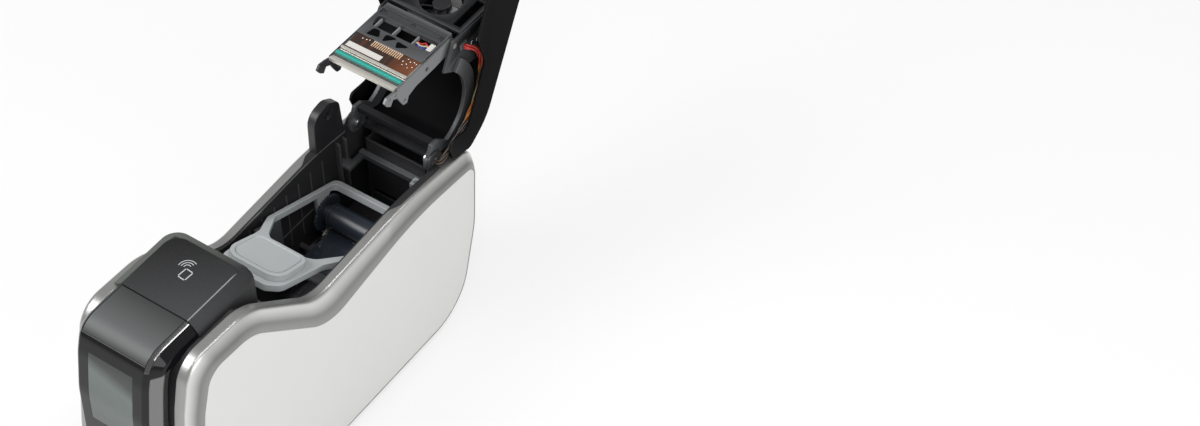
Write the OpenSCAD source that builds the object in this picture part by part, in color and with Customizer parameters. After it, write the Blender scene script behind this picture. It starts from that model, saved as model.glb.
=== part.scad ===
// Desktop id card printer: two side covers around an open ribbon bay, a hinged lid that carries the
// print head, a ribbon cartridge that lifts out, and the card drive under it.
// Front is -Y, right is +X, up is +Z. The origin is on the table below the middle of the side covers.

/* [Body] */
// Width across the outer side panels
body_w = 132; // [126:1:150]
// Depth of the side covers, front to rear
body_d = 408; // [400:1:430]
// Height of the side covers along the ribbon bay
bay_h = 198; // [195:1:199]
// Rise of the side covers beside the hood, above their height along the bay
front_rise = 62; // [58:1:68]
// Width of the flat rim on top of each side cover
rim_w = 10.5; // [8:0.5:12]
// Width that the sloping band adds outside the rim
band_w = 8.5; // [7:0.5:10]
// Wall of the side covers
cover_wall = 3; // [2.5:0.5:4]
// Thickness of the inset side panels
panel_t = 2; // [1.5:0.5:2.5]
// Thickness of the two chassis walls
chassis_t = 2.5; // [2:0.5:3]
// Height of the rubber feet
foot_h = 4; // [3:0.5:6]
// Radius of a rubber foot
foot_r = 8; // [6:1:10]

/* [Front] */
// Rise of the hood's crown above the side covers
crown_rise = 8; // [6:1:12]
// Half width of the crown's flat top
crown_flat = 28; // [24:1:30]
// Gap between the bay's walls and the sides of the hood
hood_gap = 9; // [7:1:11]
// Gap between the bay's walls and the sides of the glossy front panel
panel_gap = 7; // [5:1:9]
// Skin of the hood and of the front panel
skin = 2.4; // [2:0.2:3]
// Radius of the power button
button_r = 6; // [5:0.5:7]
// Travel of the power button
button_travel = 1.5; // [1:0.1:2]

/* [Lid] */
// Angle by which the lid stands open
lid_open = 116.6; // [112:0.2:118]
// Wall of the lid
lid_wall = 2.5; // [2:0.25:3]
// Radius of the lid's hinge pins
hinge_r = 4; // [3:0.5:4.5]
// Thickness of a hinge arm
arm_t = 4; // [3:0.5:4]
// Width of a hinge arm
arm_w = 14; // [12:1:16]
// Radius of the fan's round opening
fan_r = 20; // [17:0.5:20]

/* [Print head] */
// Gap between the heating strip's ceramic and the head's brackets
strip_end = 0.3; // [0.1:0.1:2]
// Width of the ceramic strip
strip_w = 6; // [5:0.5:7]

/* [Ribbon cartridge] */
// Clearance between the cartridge and the bay's walls
cart_gap = 1.5; // [1:0.5:2]
// Length of the cartridge's frame
cart_l = 186; // [182:1:188]
// Slope of the cartridge's frame
cart_tilt = 20; // [19:0.5:21]
// Width of a side rail
rail_w = 4.7; // [4:0.1:4.8]
// Thickness of the frame
frame_t = 7; // [6:0.5:8]
// Radius of the wound ribbon
roll_r = 12.5; // [10:0.5:12.5]
// Width of the ribbon
film_w = 60; // [56:1:64]

/* [Card drive] */
// Radius of the platen roller and the feed roller
platen_r = 8; // [7:0.5:8]
// Radius of the cleaning roller
clean_r = 7; // [6:0.5:7]
// Radius of the roller shafts
shaft_r = 3; // [2.5:0.5:3]
// Tooth size: pitch diameter over the number of teeth
module_mm = 1; // [1:0.1:1]
// Teeth on the platen gear and the feed gear
roller_teeth = 20; // [20:1:20]
// Teeth on the idler between them
idler_teeth = 18; // [18:1:18]
// Teeth on the motor's pinion
pinion_teeth = 12; // [12:1:12]
// Teeth on the cartridge's take-up gear
takeup_teeth = 36; // [36:1:36]
// Teeth on the ribbon drive gear
ribbon_teeth = 20; // [20:1:20]

/* [Hidden] */

fit = 0.05;          // radial clearance of a running fit
seam = 0.15;         // clearance all round an inset piece
gap = 0.3;           // clearance between pieces that move past each other
curve_steps = 5;     // straight steps on each rounded corner
round_n = 48;        // facets of a full circle

front_h = bay_h + front_rise; // top of the side covers beside the hood
crown_h = front_h + crown_rise; // crown of the hood and of the front panel
xo = body_w / 2;             // outer face of the side panels
xr = xo - band_w;            // ridge between the rim and the sloping band
xi = xr - rim_w;             // inner edge of the rim, which is the bay's wall
hood_half = xi - hood_gap;   // half width of the hood
panel_half = xi - panel_gap; // half width of the glossy front panel
yf = -body_d / 2;            // front of the side covers
yr = body_d / 2;             // rear of the side covers
zb = foot_h;                 // underside of the side covers
band_h = 17;                 // height of the sloping band

// Corners of the side cover's ridge, seen from the side: y, z and the radius of the corner
ridge_corners = [[yf + 8, zb, 14], [yf - 1, zb + 106, 150], [yf + 18, front_h - 45, 60],
    [yf + 31, front_h + 2, 28], [yf + 107, front_h - 1, 55], [yf + 186, bay_h - 5, 38],
    [yr - 92, bay_h + 3, 300], [yr + 1, bay_h - 8, 12], [yr - 4, bay_h - 93, 120],
    [yr - 32, zb, 60]];
// The same corners where the sloping band meets the flat side panel
panel_corners = [[yf + 16, zb + 8, 12], [yf + 14, zb + 108, 150], [yf + 32, front_h - 54, 50],
    [yf + 46, front_h + 3 - band_h, 22], [yf + 100, front_h - band_h, 45],
    [yf + 189, bay_h - 16 - band_h, 34], [yr - 94, bay_h + 6 - band_h, 300],
    [yr - 5, bay_h - 2 - band_h, 12], [yr - 10, bay_h - 93, 118], [yr - 37, zb + 8, 54]];

function unit(v) = v / norm(v);
function arc_corner(a, b, c, r) =
    let (u = unit(a - b), v = unit(c - b), half = acos(u * v) / 2, t = r / tan(half),
         p = b + u * t, q = b + v * t, m = b + unit(u + v) * (r / sin(half)),
         a1 = atan2(p[1] - m[1], p[0] - m[0]), a2 = atan2(q[1] - m[1], q[0] - m[0]),
         turn = ((a2 - a1 + 540) % 360) - 180)
    [for (i = [0:curve_steps]) m + r * [cos(a1 + turn * i / curve_steps), sin(a1 + turn * i / curve_steps)]];
function flat_point(p) = [p[0], p[1]];
// Closed outline whose corners are rounded; each corner gives curve_steps + 1 points
function rounded(c) =
    let (n = len(c))
    [for (i = [0:n - 1]) each c[i][2] > 0
        ? arc_corner(flat_point(c[(i + n - 1) % n]), flat_point(c[i]), flat_point(c[(i + 1) % n]), c[i][2])
        : [flat_point(c[i])]];
// Outline moved inwards by d, for an outline that runs clockwise
function inset(p, d) =
    let (n = len(p))
    [for (i = [0:n - 1])
        let (u = unit(p[i] - p[(i + n - 1) % n]), v = unit(p[(i + 1) % n] - p[i]),
             m = unit([u[1], -u[0]] + [v[1], -v[0]]))
        p[i] + m * d / (m * [v[1], -v[0]])];

ridge = rounded(ridge_corners);
band_edge = rounded(panel_corners);

// Extrudes a y-z outline from x0 to x1
module along_x(x0, x1) {
    translate([x0, 0, 0]) rotate([90, 0, 90]) linear_extrude(x1 - x0) children();
}
// Extrudes an x-z outline from y0 to y1
module along_y(y0, y1) {
    translate([0, y1, 0]) rotate([90, 0, 0]) linear_extrude(y1 - y0) children();
}
module block(x0, x1, y0, y1, z0, z1) {
    translate([x0, y0, z0]) cube([x1 - x0, y1 - y0, z1 - z0]);
}
module rod_x(x0, x1, y, z, r) {
    translate([x0, y, z]) rotate([0, 90, 0]) cylinder(h = x1 - x0, r = r, $fn = round_n);
}
module rod_y(y0, y1, x, z, r) {
    translate([x, y0, z]) rotate([-90, 0, 0]) cylinder(h = y1 - y0, r = r, $fn = round_n);
}
module rod_z(z0, z1, x, y, r) {
    translate([x, y, z0]) cylinder(h = z1 - z0, r = r, $fn = round_n);
}
// Solid between an outline at x0 and its partner, point by point, at x1
module loft_x(a, x0, b, x1) {
    n = len(a);
    polyhedron(
        points = concat([for (p = a) [x0, p[0], p[1]]], [for (p = b) [x1, p[0], p[1]]]),
        faces = concat([[for (i = [n - 1:-1:0]) i]], [[for (i = [0:n - 1]) n + i]],
            [for (i = [0:n - 1]) each [[i, (i + 1) % n, n + (i + 1) % n], [i, n + (i + 1) % n, n + i]]]));
}
module both_sides() {
    children();
    mirror([1, 0, 0]) children();
}

// ---------------------------------------------------------------- places

tray_top = zb + 6;                    // top of the tray's floor
hinge_y = yr - 39;                    // lid hinge
hinge_z = bay_h + 2;
card_z = 116.6;                       // plane in which the card runs
platen_y = 79;
platen_z = card_z - platen_r;
feed_y = 50;
feed_z = platen_z;
clean_y = 4;
clean_z = card_z - clean_r;
film_t = 0.4;
film_z = card_z + 1;                  // underside of the ribbon
spool_z = film_z + roll_r;
supply_y = 36;
takeup_y = 110;
ribbon_gear_z = spool_z - module_mm * (takeup_teeth + ribbon_teeth) / 2;
mesh = module_mm * (roller_teeth + idler_teeth) / 2;    // roller shaft to idler shaft
idler_y = (platen_y + feed_y) / 2;
idler_z = platen_z - sqrt(mesh * mesh - pow((platen_y - feed_y) / 2, 2));
pinion_z = idler_z - module_mm * (idler_teeth + pinion_teeth) / 2;
motor_r = 11;
floor_z = 98;                         // top of the plate under the rollers
floor_t = 3;
deck_rear = yf + 142;                 // rear edge of the hood
crown_seam = yf + 65;                 // seam between the hood and the front panel

bay_half = xi;                        // half width of the bay
wall_x0 = xi;
wall_x1 = xi + chassis_t;
gear_x0 = wall_x1 + 0.5;              // drive gears outside the right wall
gear_x1 = gear_x0 + 4;

// ---------------------------------------------------------------- gears

// Straight-sided teeth, thin enough to run free of the mating gear
module gear_2d(teeth) {
    pr = module_mm * teeth / 2;
    root = pr - 1.15 * module_mm;
    tip = pr + 0.8 * module_mm;
    half_root = 0.68 * module_mm;
    half_tip = 0.3 * module_mm;
    union() {
        circle(r = root + 0.02, $fn = round_n);
        for (i = [0:teeth - 1])
            rotate(360 * i / teeth)
                polygon([[root - 0.3, -half_root], [tip, -half_tip], [tip, half_tip],
                    [root - 0.3, half_root]]);
    }
}
// Turn that sets gear b's gaps on gear a's teeth; ca and cb are the centres, [y, z]
function mesh_turn(turn_a, teeth_a, ca, cb, teeth_b) =
    let (aim = atan2(cb[0] - ca[0], ca[1] - cb[1]), phase = (aim - turn_a) * teeth_a / 360)
    aim + 180 - (0.5 - phase) * 360 / teeth_b;
module gear_x(x0, x1, y, z, teeth, turn) {
    translate([x0, y, z]) rotate([0, 90, 0]) rotate(turn) linear_extrude(x1 - x0) gear_2d(teeth);
}

idler_turn = mesh_turn(0, roller_teeth, [platen_y, platen_z], [idler_y, idler_z], idler_teeth);
feed_turn = mesh_turn(idler_turn, idler_teeth, [idler_y, idler_z], [feed_y, feed_z], roller_teeth);
pinion_turn = mesh_turn(idler_turn, idler_teeth, [idler_y, idler_z], [idler_y, pinion_z], pinion_teeth);
ribbon_turn = mesh_turn(0, takeup_teeth, [takeup_y, spool_z], [takeup_y, ribbon_gear_z], ribbon_teeth);

// ---------------------------------------------------------------- side covers

module side_cover_solid() {
    pocket = inset(band_edge, seam + 1);
    difference() {
        union() {
            along_x(xi, xr) polygon(ridge);
            loft_x(ridge, xr, band_edge, xo);
        }
        difference() {
            union() {
                along_x(xi - 1, xr - 0.5) polygon(inset(ridge, cover_wall));
                along_x(xr - 1, cover_in) polygon(inset(band_edge, cover_wall));
            }
            // Bosses that stand on the chassis wall
            for (p = side_screws) rod_x(wall_x1, cover_in + 1, p[0], p[1], screw_r + 2.5);
        }
        along_x(xo - panel_t, xo + 1) polygon(pocket);
        for (p = side_screws) {
            rod_x(wall_x1 - 1, xo, p[0], p[1], screw_r + fit);
            rod_x(xo - panel_t - screw_head_h, xo, p[0], p[1], screw_head_r + 0.2);
        }
    }
}
cover_in = xo - cover_wall - panel_t;  // inner face of the cover's outer wall
screw_r = 1.5;
screw_head_r = 3;
screw_head_h = 1.6;
side_screws = [[yf + 40, zb + 26], [yr - 60, zb + 26], [yf + 40, zb + 150]];
module side_cover_right() { color("silver") side_cover_solid(); }
module side_cover_left() { color("silver") mirror([1, 0, 0]) side_cover_solid(); }

module side_panel_solid() {
    along_x(xo - panel_t, xo) polygon(inset(band_edge, 1 + 2 * seam));
}
module side_panel_right() { color("gainsboro") side_panel_solid(); }
module side_panel_left() { color("gainsboro") mirror([1, 0, 0]) side_panel_solid(); }

// ---------------------------------------------------------------- chassis

wall_outline = inset(ridge, cover_wall + 0.01);
module wall_plate() {
    intersection() {
        along_x(wall_x0, wall_x1) polygon(wall_outline);
        block(wall_x0 - 1, wall_x1 + 1, yf + 12, yr - 10, tray_top, front_h);
    }
}
module wall_bores() {
    for (p = [[platen_y, platen_z], [feed_y, feed_z], [clean_y, clean_z]])
        rod_x(wall_x0 - 1, wall_x1 + 1, p[0], p[1], shaft_r + fit);
}
module chassis_wall_right() {
    color([0.16, 0.16, 0.17]) difference() {
        wall_plate();
        wall_bores();
        rod_x(wall_x0 - 1, wall_x1 + 1, idler_y, idler_z, shaft_r + fit);
        rod_x(wall_x0 - 1, wall_x1 + 1, idler_y, pinion_z, shaft_r + 1);
    }
}
module chassis_wall_left() {
    color([0.16, 0.16, 0.17]) mirror([1, 0, 0]) difference() {
        wall_plate();
        wall_bores();
        rod_x(wall_x0 - 1, wall_x1 + 1, takeup_y, ribbon_gear_z, shaft_r + fit);
    }
}

plate_t = 1.7;                        // steel of the hinge plates
plate_x0 = xi - plate_t;
ear_r = 11;
module hinge_plates() {
    color([0.35, 0.36, 0.38]) both_sides() difference() {
        union() {
            rod_x(plate_x0, xi, hinge_y, hinge_z, ear_r);
            block(plate_x0, xi, hinge_y - ear_r, hinge_y + ear_r, hinge_z - 52, hinge_z);
        }
        rod_x(plate_x0 - 1, xi + 1, hinge_y, hinge_z, hinge_r + fit);
    }
}

module base_tray() {
    rear_end = yr - 74;
    color([0.13, 0.13, 0.14]) difference() {
        union() {
            block(-xi + seam, xi - seam, yf + 18, rear_end, zb, zb + cover_wall + 1);
            block(-wall_x1 - 3, wall_x1 + 3, crown_seam + seam, rear_end - 6, zb + cover_wall + 0.3,
                tray_top);
            // Ribs that stiffen the floor
            for (y = rib_places) block(-xi + 7, xi - 7, y, y + 2, tray_top - 1, tray_top + 4);
        }
        for (p = foot_places) rod_z(zb - 1, zb + 1.5, p[0], p[1], foot_r + seam);
        // Air slots
        for (i = [0:7]) block(-12, 12, yf + 90 + 8 * i, yf + 93 + 8 * i, zb - 1, tray_top + 5);
    }
}
rib_places = [yf + 66, yf + 130, yf + 190];
foot_places = [for (x = [-1, 1], y = [yf + 36, yr - 92]) [x * (xi - foot_r - 4), y]];
module rubber_feet() {
    color([0.08, 0.08, 0.08]) for (p = foot_places) union() {
        rod_z(0, zb + 1.5, p[0], p[1], foot_r);
    }
}

// ---------------------------------------------------------------- rear

rear_outer = inset(ridge, 1.5);
rear_inner = inset(ridge, 1.5 + cover_wall);
deck_top = bay_h - 12;                // top of the fixed deck behind the lid
inlet_x = -22;
inlet_z = 52;
port_x = 20;
port_z = 50;
door_half = xi - 15;
door_z0 = bay_h - 94;
door_z1 = bay_h - 34;
module rear_band(o, i) {
    along_x(-xi + seam, xi - seam) difference() {
        polygon(o);
        polygon(i);
    }
}
module rear_cover() {
    color([0.15, 0.15, 0.16]) difference() {
        union() {
            intersection() {
                rear_band(rear_outer, rear_inner);
                block(-xo, xo, yr - 74 + seam, yr + 5, zb, deck_top - 4);
            }
            // Fixed deck between the hinges and the rear wall
            intersection() {
                along_x(-xi + seam, xi - seam) polygon(rear_outer);
                block(-xo, xo, hinge_y + ear_r + 1, yr + 5, deck_top - 4, deck_top);
            }
        }
        // Power inlet, data ports and the hopper's door
        block(inlet_x - 14, inlet_x + 14, yr - 60, yr + 5, inlet_z - 10, inlet_z + 10);
        block(port_x - 6.3, port_x + 6.3, yr - 60, yr + 5, port_z - 5.6, port_z + 5.6);
        block(port_x - 8.3, port_x + 8.3, yr - 60, yr + 5, port_z + 12, port_z + 27);
        block(-door_half - gap, door_half + gap, yr - 40, yr + 5, door_z0 - 1, door_z1 + gap);
        rod_x(-door_half - 1.6, door_half + 1.6, door_pin_y, door_pin_z, door_pin_r + fit);
        for (i = [0:5]) block(-34 + 12 * i, -28 + 12 * i, yr - 60, yr + 5, 80, 94);
    }
}
module power_inlet() {
    color([0.07, 0.07, 0.07]) difference() {
        block(inlet_x - 13.8, inlet_x + 13.8, yr - 44, yr - 18, inlet_z - 9.8, inlet_z + 9.8);
        block(inlet_x - 11.5, inlet_x + 11.5, yr - 34, yr - 10, inlet_z - 7.5, inlet_z + 7.5);
    }
    color("silver") for (x = [-7, 0, 7])
        block(inlet_x + x - 1, inlet_x + x + 1, yr - 34.5, yr - 24, inlet_z - 2 + (x == 0 ? 3 : 0),
            inlet_z + 2 + (x == 0 ? 3 : 0));
}
module data_ports() {
    color([0.7, 0.71, 0.72]) {
        difference() {
            block(port_x - 6, port_x + 6, yr - 40, yr - 17, port_z - 5.3, port_z + 5.3);
            block(port_x - 4.5, port_x + 4.5, yr - 32, yr - 10, port_z - 4, port_z + 4);
        }
        difference() {
            block(port_x - 8, port_x + 8, yr - 40, yr - 15, port_z + 12.3, port_z + 26.7);
            block(port_x - 6, port_x + 6, yr - 32, yr - 10, port_z + 14, port_z + 23);
        }
    }
}

hopper_half = xi - 13;
hopper_y0 = 166;
hopper_y1 = yr - 12;
hopper_z0 = 94;
module input_hopper() {
    color([0.1, 0.1, 0.11]) union() {
        difference() {
            block(-hopper_half, hopper_half, hopper_y0, hopper_y1, hopper_z0, deck_top - 4);
            block(-hopper_half + 2.5, hopper_half - 2.5, hopper_y0 + 2.5, hopper_y1 + 1,
                hopper_z0 + 2.5, deck_top + 1);
            // Slot at the foot of the front wall through which the cards leave
            block(-29, 29, hopper_y0 - 1, hopper_y0 + 4, card_z - 3, card_z + 3);
        }
        // Flanges on the chassis walls
        for (s = [-1, 1]) block(s > 0 ? hopper_half : -xi, s > 0 ? xi : -hopper_half, hopper_y0 + 12,
            hopper_y0 + 15, hopper_z0, deck_top - 20);
    }
}
door_pin_y = yr - 7.4;
door_pin_z = door_z0 + 3;
door_pin_r = 0.9;
module hopper_door() {
    // Flap in the rear cover, hinged along its lower edge
    color([0.2, 0.2, 0.21]) union() {
        intersection() {
            rear_band(inset(ridge, 1.7), inset(ridge, 4));
            block(-door_half, door_half, yr - 40, yr + 5, door_z0, door_z1);
        }
        rod_x(-door_half - 1.4, door_half + 1.4, door_pin_y, door_pin_z, door_pin_r);
    }
}

// The bracket in front of the hopper
bar_half = xi - 11;
bar_z = 165;
bar_y = hopper_y0 - 26;               // front ends of the bracket's legs
module hopper_bar() {
    color([0.42, 0.44, 0.46]) union() {
        block(-bar_half - 3, bar_half + 3, hopper_y0 - 6, hopper_y0, bar_z - 4, bar_z + 2);
        both_sides() {
            block(bar_half - 3, bar_half + 3, bar_y, hopper_y0 - 5, bar_z - 4, bar_z);
            // Tab on the chassis wall
            block(bar_half + 2, xi, bar_y, bar_y + 11, bar_z - 4, bar_z);
        }
    }
}

// ---------------------------------------------------------------- front

frame_floor = tray_top + 0.2;         // top of the frame's foot, on which the card bin stands
// Matte frame behind the glossy panel, seen from the side; it closes the body between the walls
frame_corners = [[crown_seam, zb + 4, 0], [yf + 14, zb + 4, 6], [yf + 5, zb + 106, 90],
    [yf + 21, crown_h - 57, 40], [yf + 36, crown_h - 19, 20], [crown_seam - 14, crown_h - 14, 12],
    [crown_seam, crown_h - 14, 0]];
frame_outer = rounded(frame_corners);
frame_inner = rounded([for (c = frame_corners)
    [c[0] == crown_seam ? crown_seam + 1 : c[0] + cover_wall, c[1] == zb + 4 ? frame_floor
        : c[1] - cover_wall, c[2]]]);
// Outer face of the glossy panel
panel_low = 112;
panel_outline = [[crown_seam, panel_low, 0], [yf - 3, panel_low, 5], [yf - 5, 152, 80],
    [yf - 2, crown_h - 66, 90], [yf + 6, crown_h - 26, 14], [yf + 14, crown_h - 5, 10],
    [yf + 28, crown_h, 8], [crown_seam, crown_h, 0]];
panel_outer = rounded(panel_outline);
panel_inner = rounded([for (c = panel_outline)
    [c[0] == crown_seam ? crown_seam + 1 : c[0] + skin, c[1] == crown_h ? c[1] - skin
        : c[1] == panel_low ? c[1] + skin : c[1] - 1, c[2]]]);
win_x0 = -30;
win_x1 = 18;
win_z0 = 172;
win_z1 = 246;
button_x = 25;
button_z = 134;
bin_half = xi - 14;
bin_z0 = 30;
bin_z1 = 104;
slot_z = card_z;

function crown_section(half, low, d) = [[-half + d, low], [-half + d, crown_h - 10 - d / 2],
    [-crown_flat + d / 2, crown_h - d], [crown_flat - d / 2, crown_h - d],
        [half - d, crown_h - 10 - d / 2], [half - d, low]];

module front_frame() {
    color([0.17, 0.17, 0.18]) difference() {
        along_x(-xi + seam, xi - seam) difference() {
            polygon(frame_outer);
            polygon(frame_inner);
        }
        // Openings for the card bin, the display, the button and the board's cable
        block(-bin_half - 3 - gap, bin_half + 3 + gap, yf - 10, yf + 22, bin_z0 - 1 - gap, bin_z1 + gap);
        block(win_x0 + 3, win_x1 - 3, yf - 10, yf + 40, win_z0 + 4, win_z1 - 8);
        rod_y(yf - 12, yf + 20, button_x, button_z, button_r + 1.7);
        block(-29, 29, yf - 10, yf + 22, slot_z - 3, slot_z + 3);
        rod_x(-bin_half - 5.2, bin_half + 5.2, output_pin_y, output_pin_z, output_pin_r + fit);
    }
}
module front_panel_shape(o, half, d) {
    intersection() {
        along_x(-half + d, half - d) polygon(o);
        along_y(yf - 10, crown_seam + 2) polygon(crown_section(half, 90, d));
        // Rounded corners in plan
        translate([0, 0, 80]) linear_extrude(200) polygon(rounded([[-half + d, crown_seam + 2, 0],
            [-half + d, yf - 6 + d, 12], [half - d, yf - 6 + d, 12], [half - d, crown_seam + 2, 0]]));
    }
}
module front_panel() {
    color([0.05, 0.05, 0.06]) difference() {
        front_panel_shape(panel_outer, panel_half, 0);
        front_panel_shape(panel_inner, panel_half, skin);
        along_x(-xo, xo) polygon(frame_outer);
        block(win_x0 - seam, win_x1 + seam, yf - 10, yf + 14, win_z0 - seam, win_z1 + seam);
        rod_y(yf - 12, yf + 2, button_x, button_z, button_r + gap);
        // Slot through which a finished card drops
        block(-29, 29, yf - 10, yf + 4, slot_z - 2.5, slot_z + 2.5);
        block(-xo, xo, crown_seam - seam, crown_seam + 5, 0, crown_h + 5);
    }
}
module display_lens() {
    color([0.25, 0.28, 0.28]) intersection() {
        difference() {
            front_panel_shape(panel_outer, panel_half, 0);
            front_panel_shape(rounded([for (c = panel_outline) [c[0] + 1.6, c[1] - 0.5, c[2]]]),
                panel_half, 1);
        }
        block(win_x0, win_x1, yf - 10, yf + 12, win_z0, win_z1);
    }
}
module display_module() {
    lean = atan2(8, 40);
    color([0.3, 0.36, 0.34]) translate([0, yf + 3.4, crown_h - 66])
        rotate([-lean, 0, 0]) block(win_x0 + 3, win_x1 - 3, 0, 4, -24, 33);
}
panel_face = yf - 4.1;                // outer face of the panel at the button
module power_button() {
    color([0.3, 0.31, 0.32]) union() {
        rod_y(panel_face - button_travel, yf + 5, button_x, button_z, button_r);
        rod_y(yf - 1.2, yf + 2, button_x, button_z, button_r + 1.4);
    }
}
bin_y = yf + 18;                      // front of the bin, behind the swing of its door
module output_bin() {
    color([0.12, 0.12, 0.13]) difference() {
        union() {
            block(-bin_half - 2.5, bin_half + 2.5, bin_y, yf + 86, bin_z0 - 2.5, bin_z1);
            // Feet on the tray
            for (s = [-1, 1]) block(s * 24 - 4, s * 24 + 4, yf + 30, yf + 60, frame_floor, bin_z0 - 2);
        }
        block(-bin_half, bin_half, bin_y - 1, yf + 83.5, bin_z0, bin_z1 + 1);
    }
}
output_pin_y = yf + 13.2;
output_pin_z = bin_z0 + 4;
output_pin_r = 1;
module output_door() {
    color([0.2, 0.2, 0.21]) union() {
        intersection() {
            along_x(-bin_half - 3, bin_half + 3) difference() {
                polygon(inset(frame_outer, 0.2));
                polygon(inset(frame_outer, 2.8));
            }
            block(-bin_half - 3, bin_half + 3, yf - 2, yf + 16, bin_z0, bin_z1 - 6);
        }
        // Hinge pins in the frame's sides
        rod_x(-bin_half - 5, bin_half + 5, output_pin_y, output_pin_z, output_pin_r);
    }
}

module front_deck_line() { polygon([[crown_seam, front_h - 8], [yf + 103, front_h - 8.5],
    [deck_rear, front_h - 38],
    [deck_rear, 122], [deck_rear - skin, 122], [deck_rear - skin, front_h - 40],
        [yf + 102, front_h - 11.5], [crown_seam, front_h - 11]]); }
module front_deck() {
    color([0.14, 0.14, 0.15]) difference() {
        along_x(-xi + seam, xi - seam) front_deck_line();
        // Card path under the hood
        block(-30, 30, deck_rear - 8, deck_rear + 1, 121, 130);
    }
}
module hood_shape(half, d) {
    intersection() {
        along_y(crown_seam + seam, deck_rear - d) polygon(crown_section(half, 180, d));
        along_x(-xo, xo) polygon(rounded([[crown_seam - 1, 180, 0], [crown_seam - 1, crown_h + 1, 0],
            [deck_rear - 14, crown_h + 0.5 - d, 30], [deck_rear - d, crown_h - 4 - d, 5],
                [deck_rear - d, 180, 0]]));
        translate([0, 0, 170]) linear_extrude(120) polygon(rounded([[-half + d, crown_seam - 1, 0],
            [-half + d, deck_rear - d, 12], [half - d, deck_rear - d, 12], [half - d, crown_seam - 1, 0]]));
    }
}
module hood() {
    color([0.2, 0.2, 0.21]) difference() {
        hood_shape(hood_half, 0);
        hood_shape(hood_half, skin);
        // Everything below the deck that it stands on
        along_x(-xo, xo) polygon([[crown_seam - 5, 100], [crown_seam - 5, front_h - 8],
            [crown_seam, front_h - 8],
            [yf + 103, front_h - 8.5], [deck_rear, front_h - 38], [deck_rear + 5, front_h - 42],
                [deck_rear + 5, 100]]);
        // Shallow recess in the top
        translate([0, 0, crown_h - 0.7]) linear_extrude(5) polygon(rounded([[-crown_flat + 2,
            crown_seam + 3, 4],
            [-crown_flat + 2, deck_rear - 14, 10], [crown_flat - 1, deck_rear - 14, 10],
                [crown_flat - 1, crown_seam + 3, 4]]));
    }
}

// ---------------------------------------------------------------- inside the bay

block_top = bay_h - 16;
cover_left = bay_half - 8;
module roller_cover() {
    color([0.13, 0.13, 0.14]) difference() {
        along_x(-cover_left, cover_left + 3) polygon(rounded([[deck_rear + 10, 128, 0],
            [deck_rear + 12, 150, 8], [yf + 184, block_top, 5],
            [yf + 206, block_top, 4], [yf + 213, block_top - 8, 3], [yf + 213, 128, 0]]));
        // Room for the cleaning roller and the groove along the top
        block(-cover_left + 3, cover_left, deck_rear + 14, yf + 210, 127, 168);
        for (i = [0:11]) block(-34 + 6 * i, -32.4 + 6 * i, yf + 186, yf + 207, block_top - 1.2,
            block_top + 1);
    }
    // Legs on the transport floor
    color([0.13, 0.13, 0.14]) difference() {
        for (x = [-cover_left, cover_left]) block(x, x + 3, deck_rear + 16, yf + 213, floor_z, 128);
        rod_x(-xi, xi, clean_y, clean_z, shaft_r + gap);
    }
}
module transport_floor() {
    color([0.11, 0.11, 0.12]) difference() {
        union() {
            block(-xi + seam, xi - seam, deck_rear - 3, hopper_y0 - seam, floor_z - floor_t, floor_z);
            // Flanges along the chassis walls
            both_sides() for (y = [deck_rear + 4, hopper_y0 - 40])
                block(xi - seam - 2, xi - seam, y, y + 30, floor_z - 12, floor_z - 1);
        }
        // Wells for the ribbon drive gear
        block(-bay_half + 3, -33, takeup_y - 14, takeup_y + 14, floor_z - 5, floor_z + 1);
    }
}
guide_half = bay_half - 13;
module card_guides() {
    color([0.24, 0.25, 0.26]) {
        for (y = [60, 91]) difference() {
            block(-guide_half, guide_half, y, y + 7, floor_z, card_z - 2);
            for (x = [-26:13:26]) block(x - 2, x + 2, y - 1, y + 8, card_z - 6, card_z);
        }
        // Sensor plate with a square window
        difference() {
            block(-guide_half + 4, guide_half, 116, 134, floor_z, card_z - 4);
            block(-guide_half + 6, guide_half - 2, 114, 132, floor_z - 1, card_z - 7);
            block(8, 16, 121, 129, card_z - 9, card_z);
        }
        // Side rails that keep the card straight
        for (s = [-1, 1]) block(s * (guide_half - 4.5) - 1.5, s * (guide_half - 4.5) + 1.5, 14, 40,
            floor_z, card_z - 1);
    }
}
module roller(y, z, r, half, x1) {
    rod_x(-half, half, y, z, r);
    rod_x(-wall_x1 - 1, x1, y, z, shaft_r);
}
module platen_roller() {
    color([0.1, 0.1, 0.1]) union() {
        roller(platen_y, platen_z, platen_r, bay_half - 12, gear_x1 + 0.5);
        gear_x(gear_x0, gear_x1, platen_y, platen_z, roller_teeth, 0);
    }
}
module feed_roller() {
    color([0.1, 0.1, 0.1]) union() {
        roller(feed_y, feed_z, platen_r, bay_half - 17, gear_x1 + 0.5);
        gear_x(gear_x0, gear_x1, feed_y, feed_z, roller_teeth, feed_turn);
    }
}
module cleaning_roller() {
    color([0.75, 0.35, 0.2]) roller(clean_y, clean_z, clean_r, bay_half - 18, wall_x1 + 1);
}
module idler_gear() {
    color([0.85, 0.85, 0.8]) union() {
        rod_x(wall_x0 + 0.2, gear_x1 + 0.5, idler_y, idler_z, shaft_r);
        gear_x(gear_x0, gear_x1, idler_y, idler_z, idler_teeth, idler_turn);
    }
}
motor_x0 = 12;
module motor_pinion() {
    color([0.8, 0.7, 0.4]) union() {
        rod_x(xi - 8, gear_x0 + 0.5, idler_y, pinion_z, 1.5);
        gear_x(gear_x0, gear_x1, idler_y, pinion_z, pinion_teeth, pinion_turn);
    }
}
module feed_motor() {
    color([0.55, 0.56, 0.58]) difference() {
        union() {
            rod_x(motor_x0, xi, idler_y, pinion_z, motor_r);
            block(xi - 1.5, xi, idler_y - 17, idler_y + 17, pinion_z - 6, pinion_z + 6);
        }
        rod_x(xi - 9, xi + 1, idler_y, pinion_z, 1.5 + fit);
    }
}
ribbon_gear_x = xi - 9.3;             // inner face of the ribbon drive gear, on the left
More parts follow.
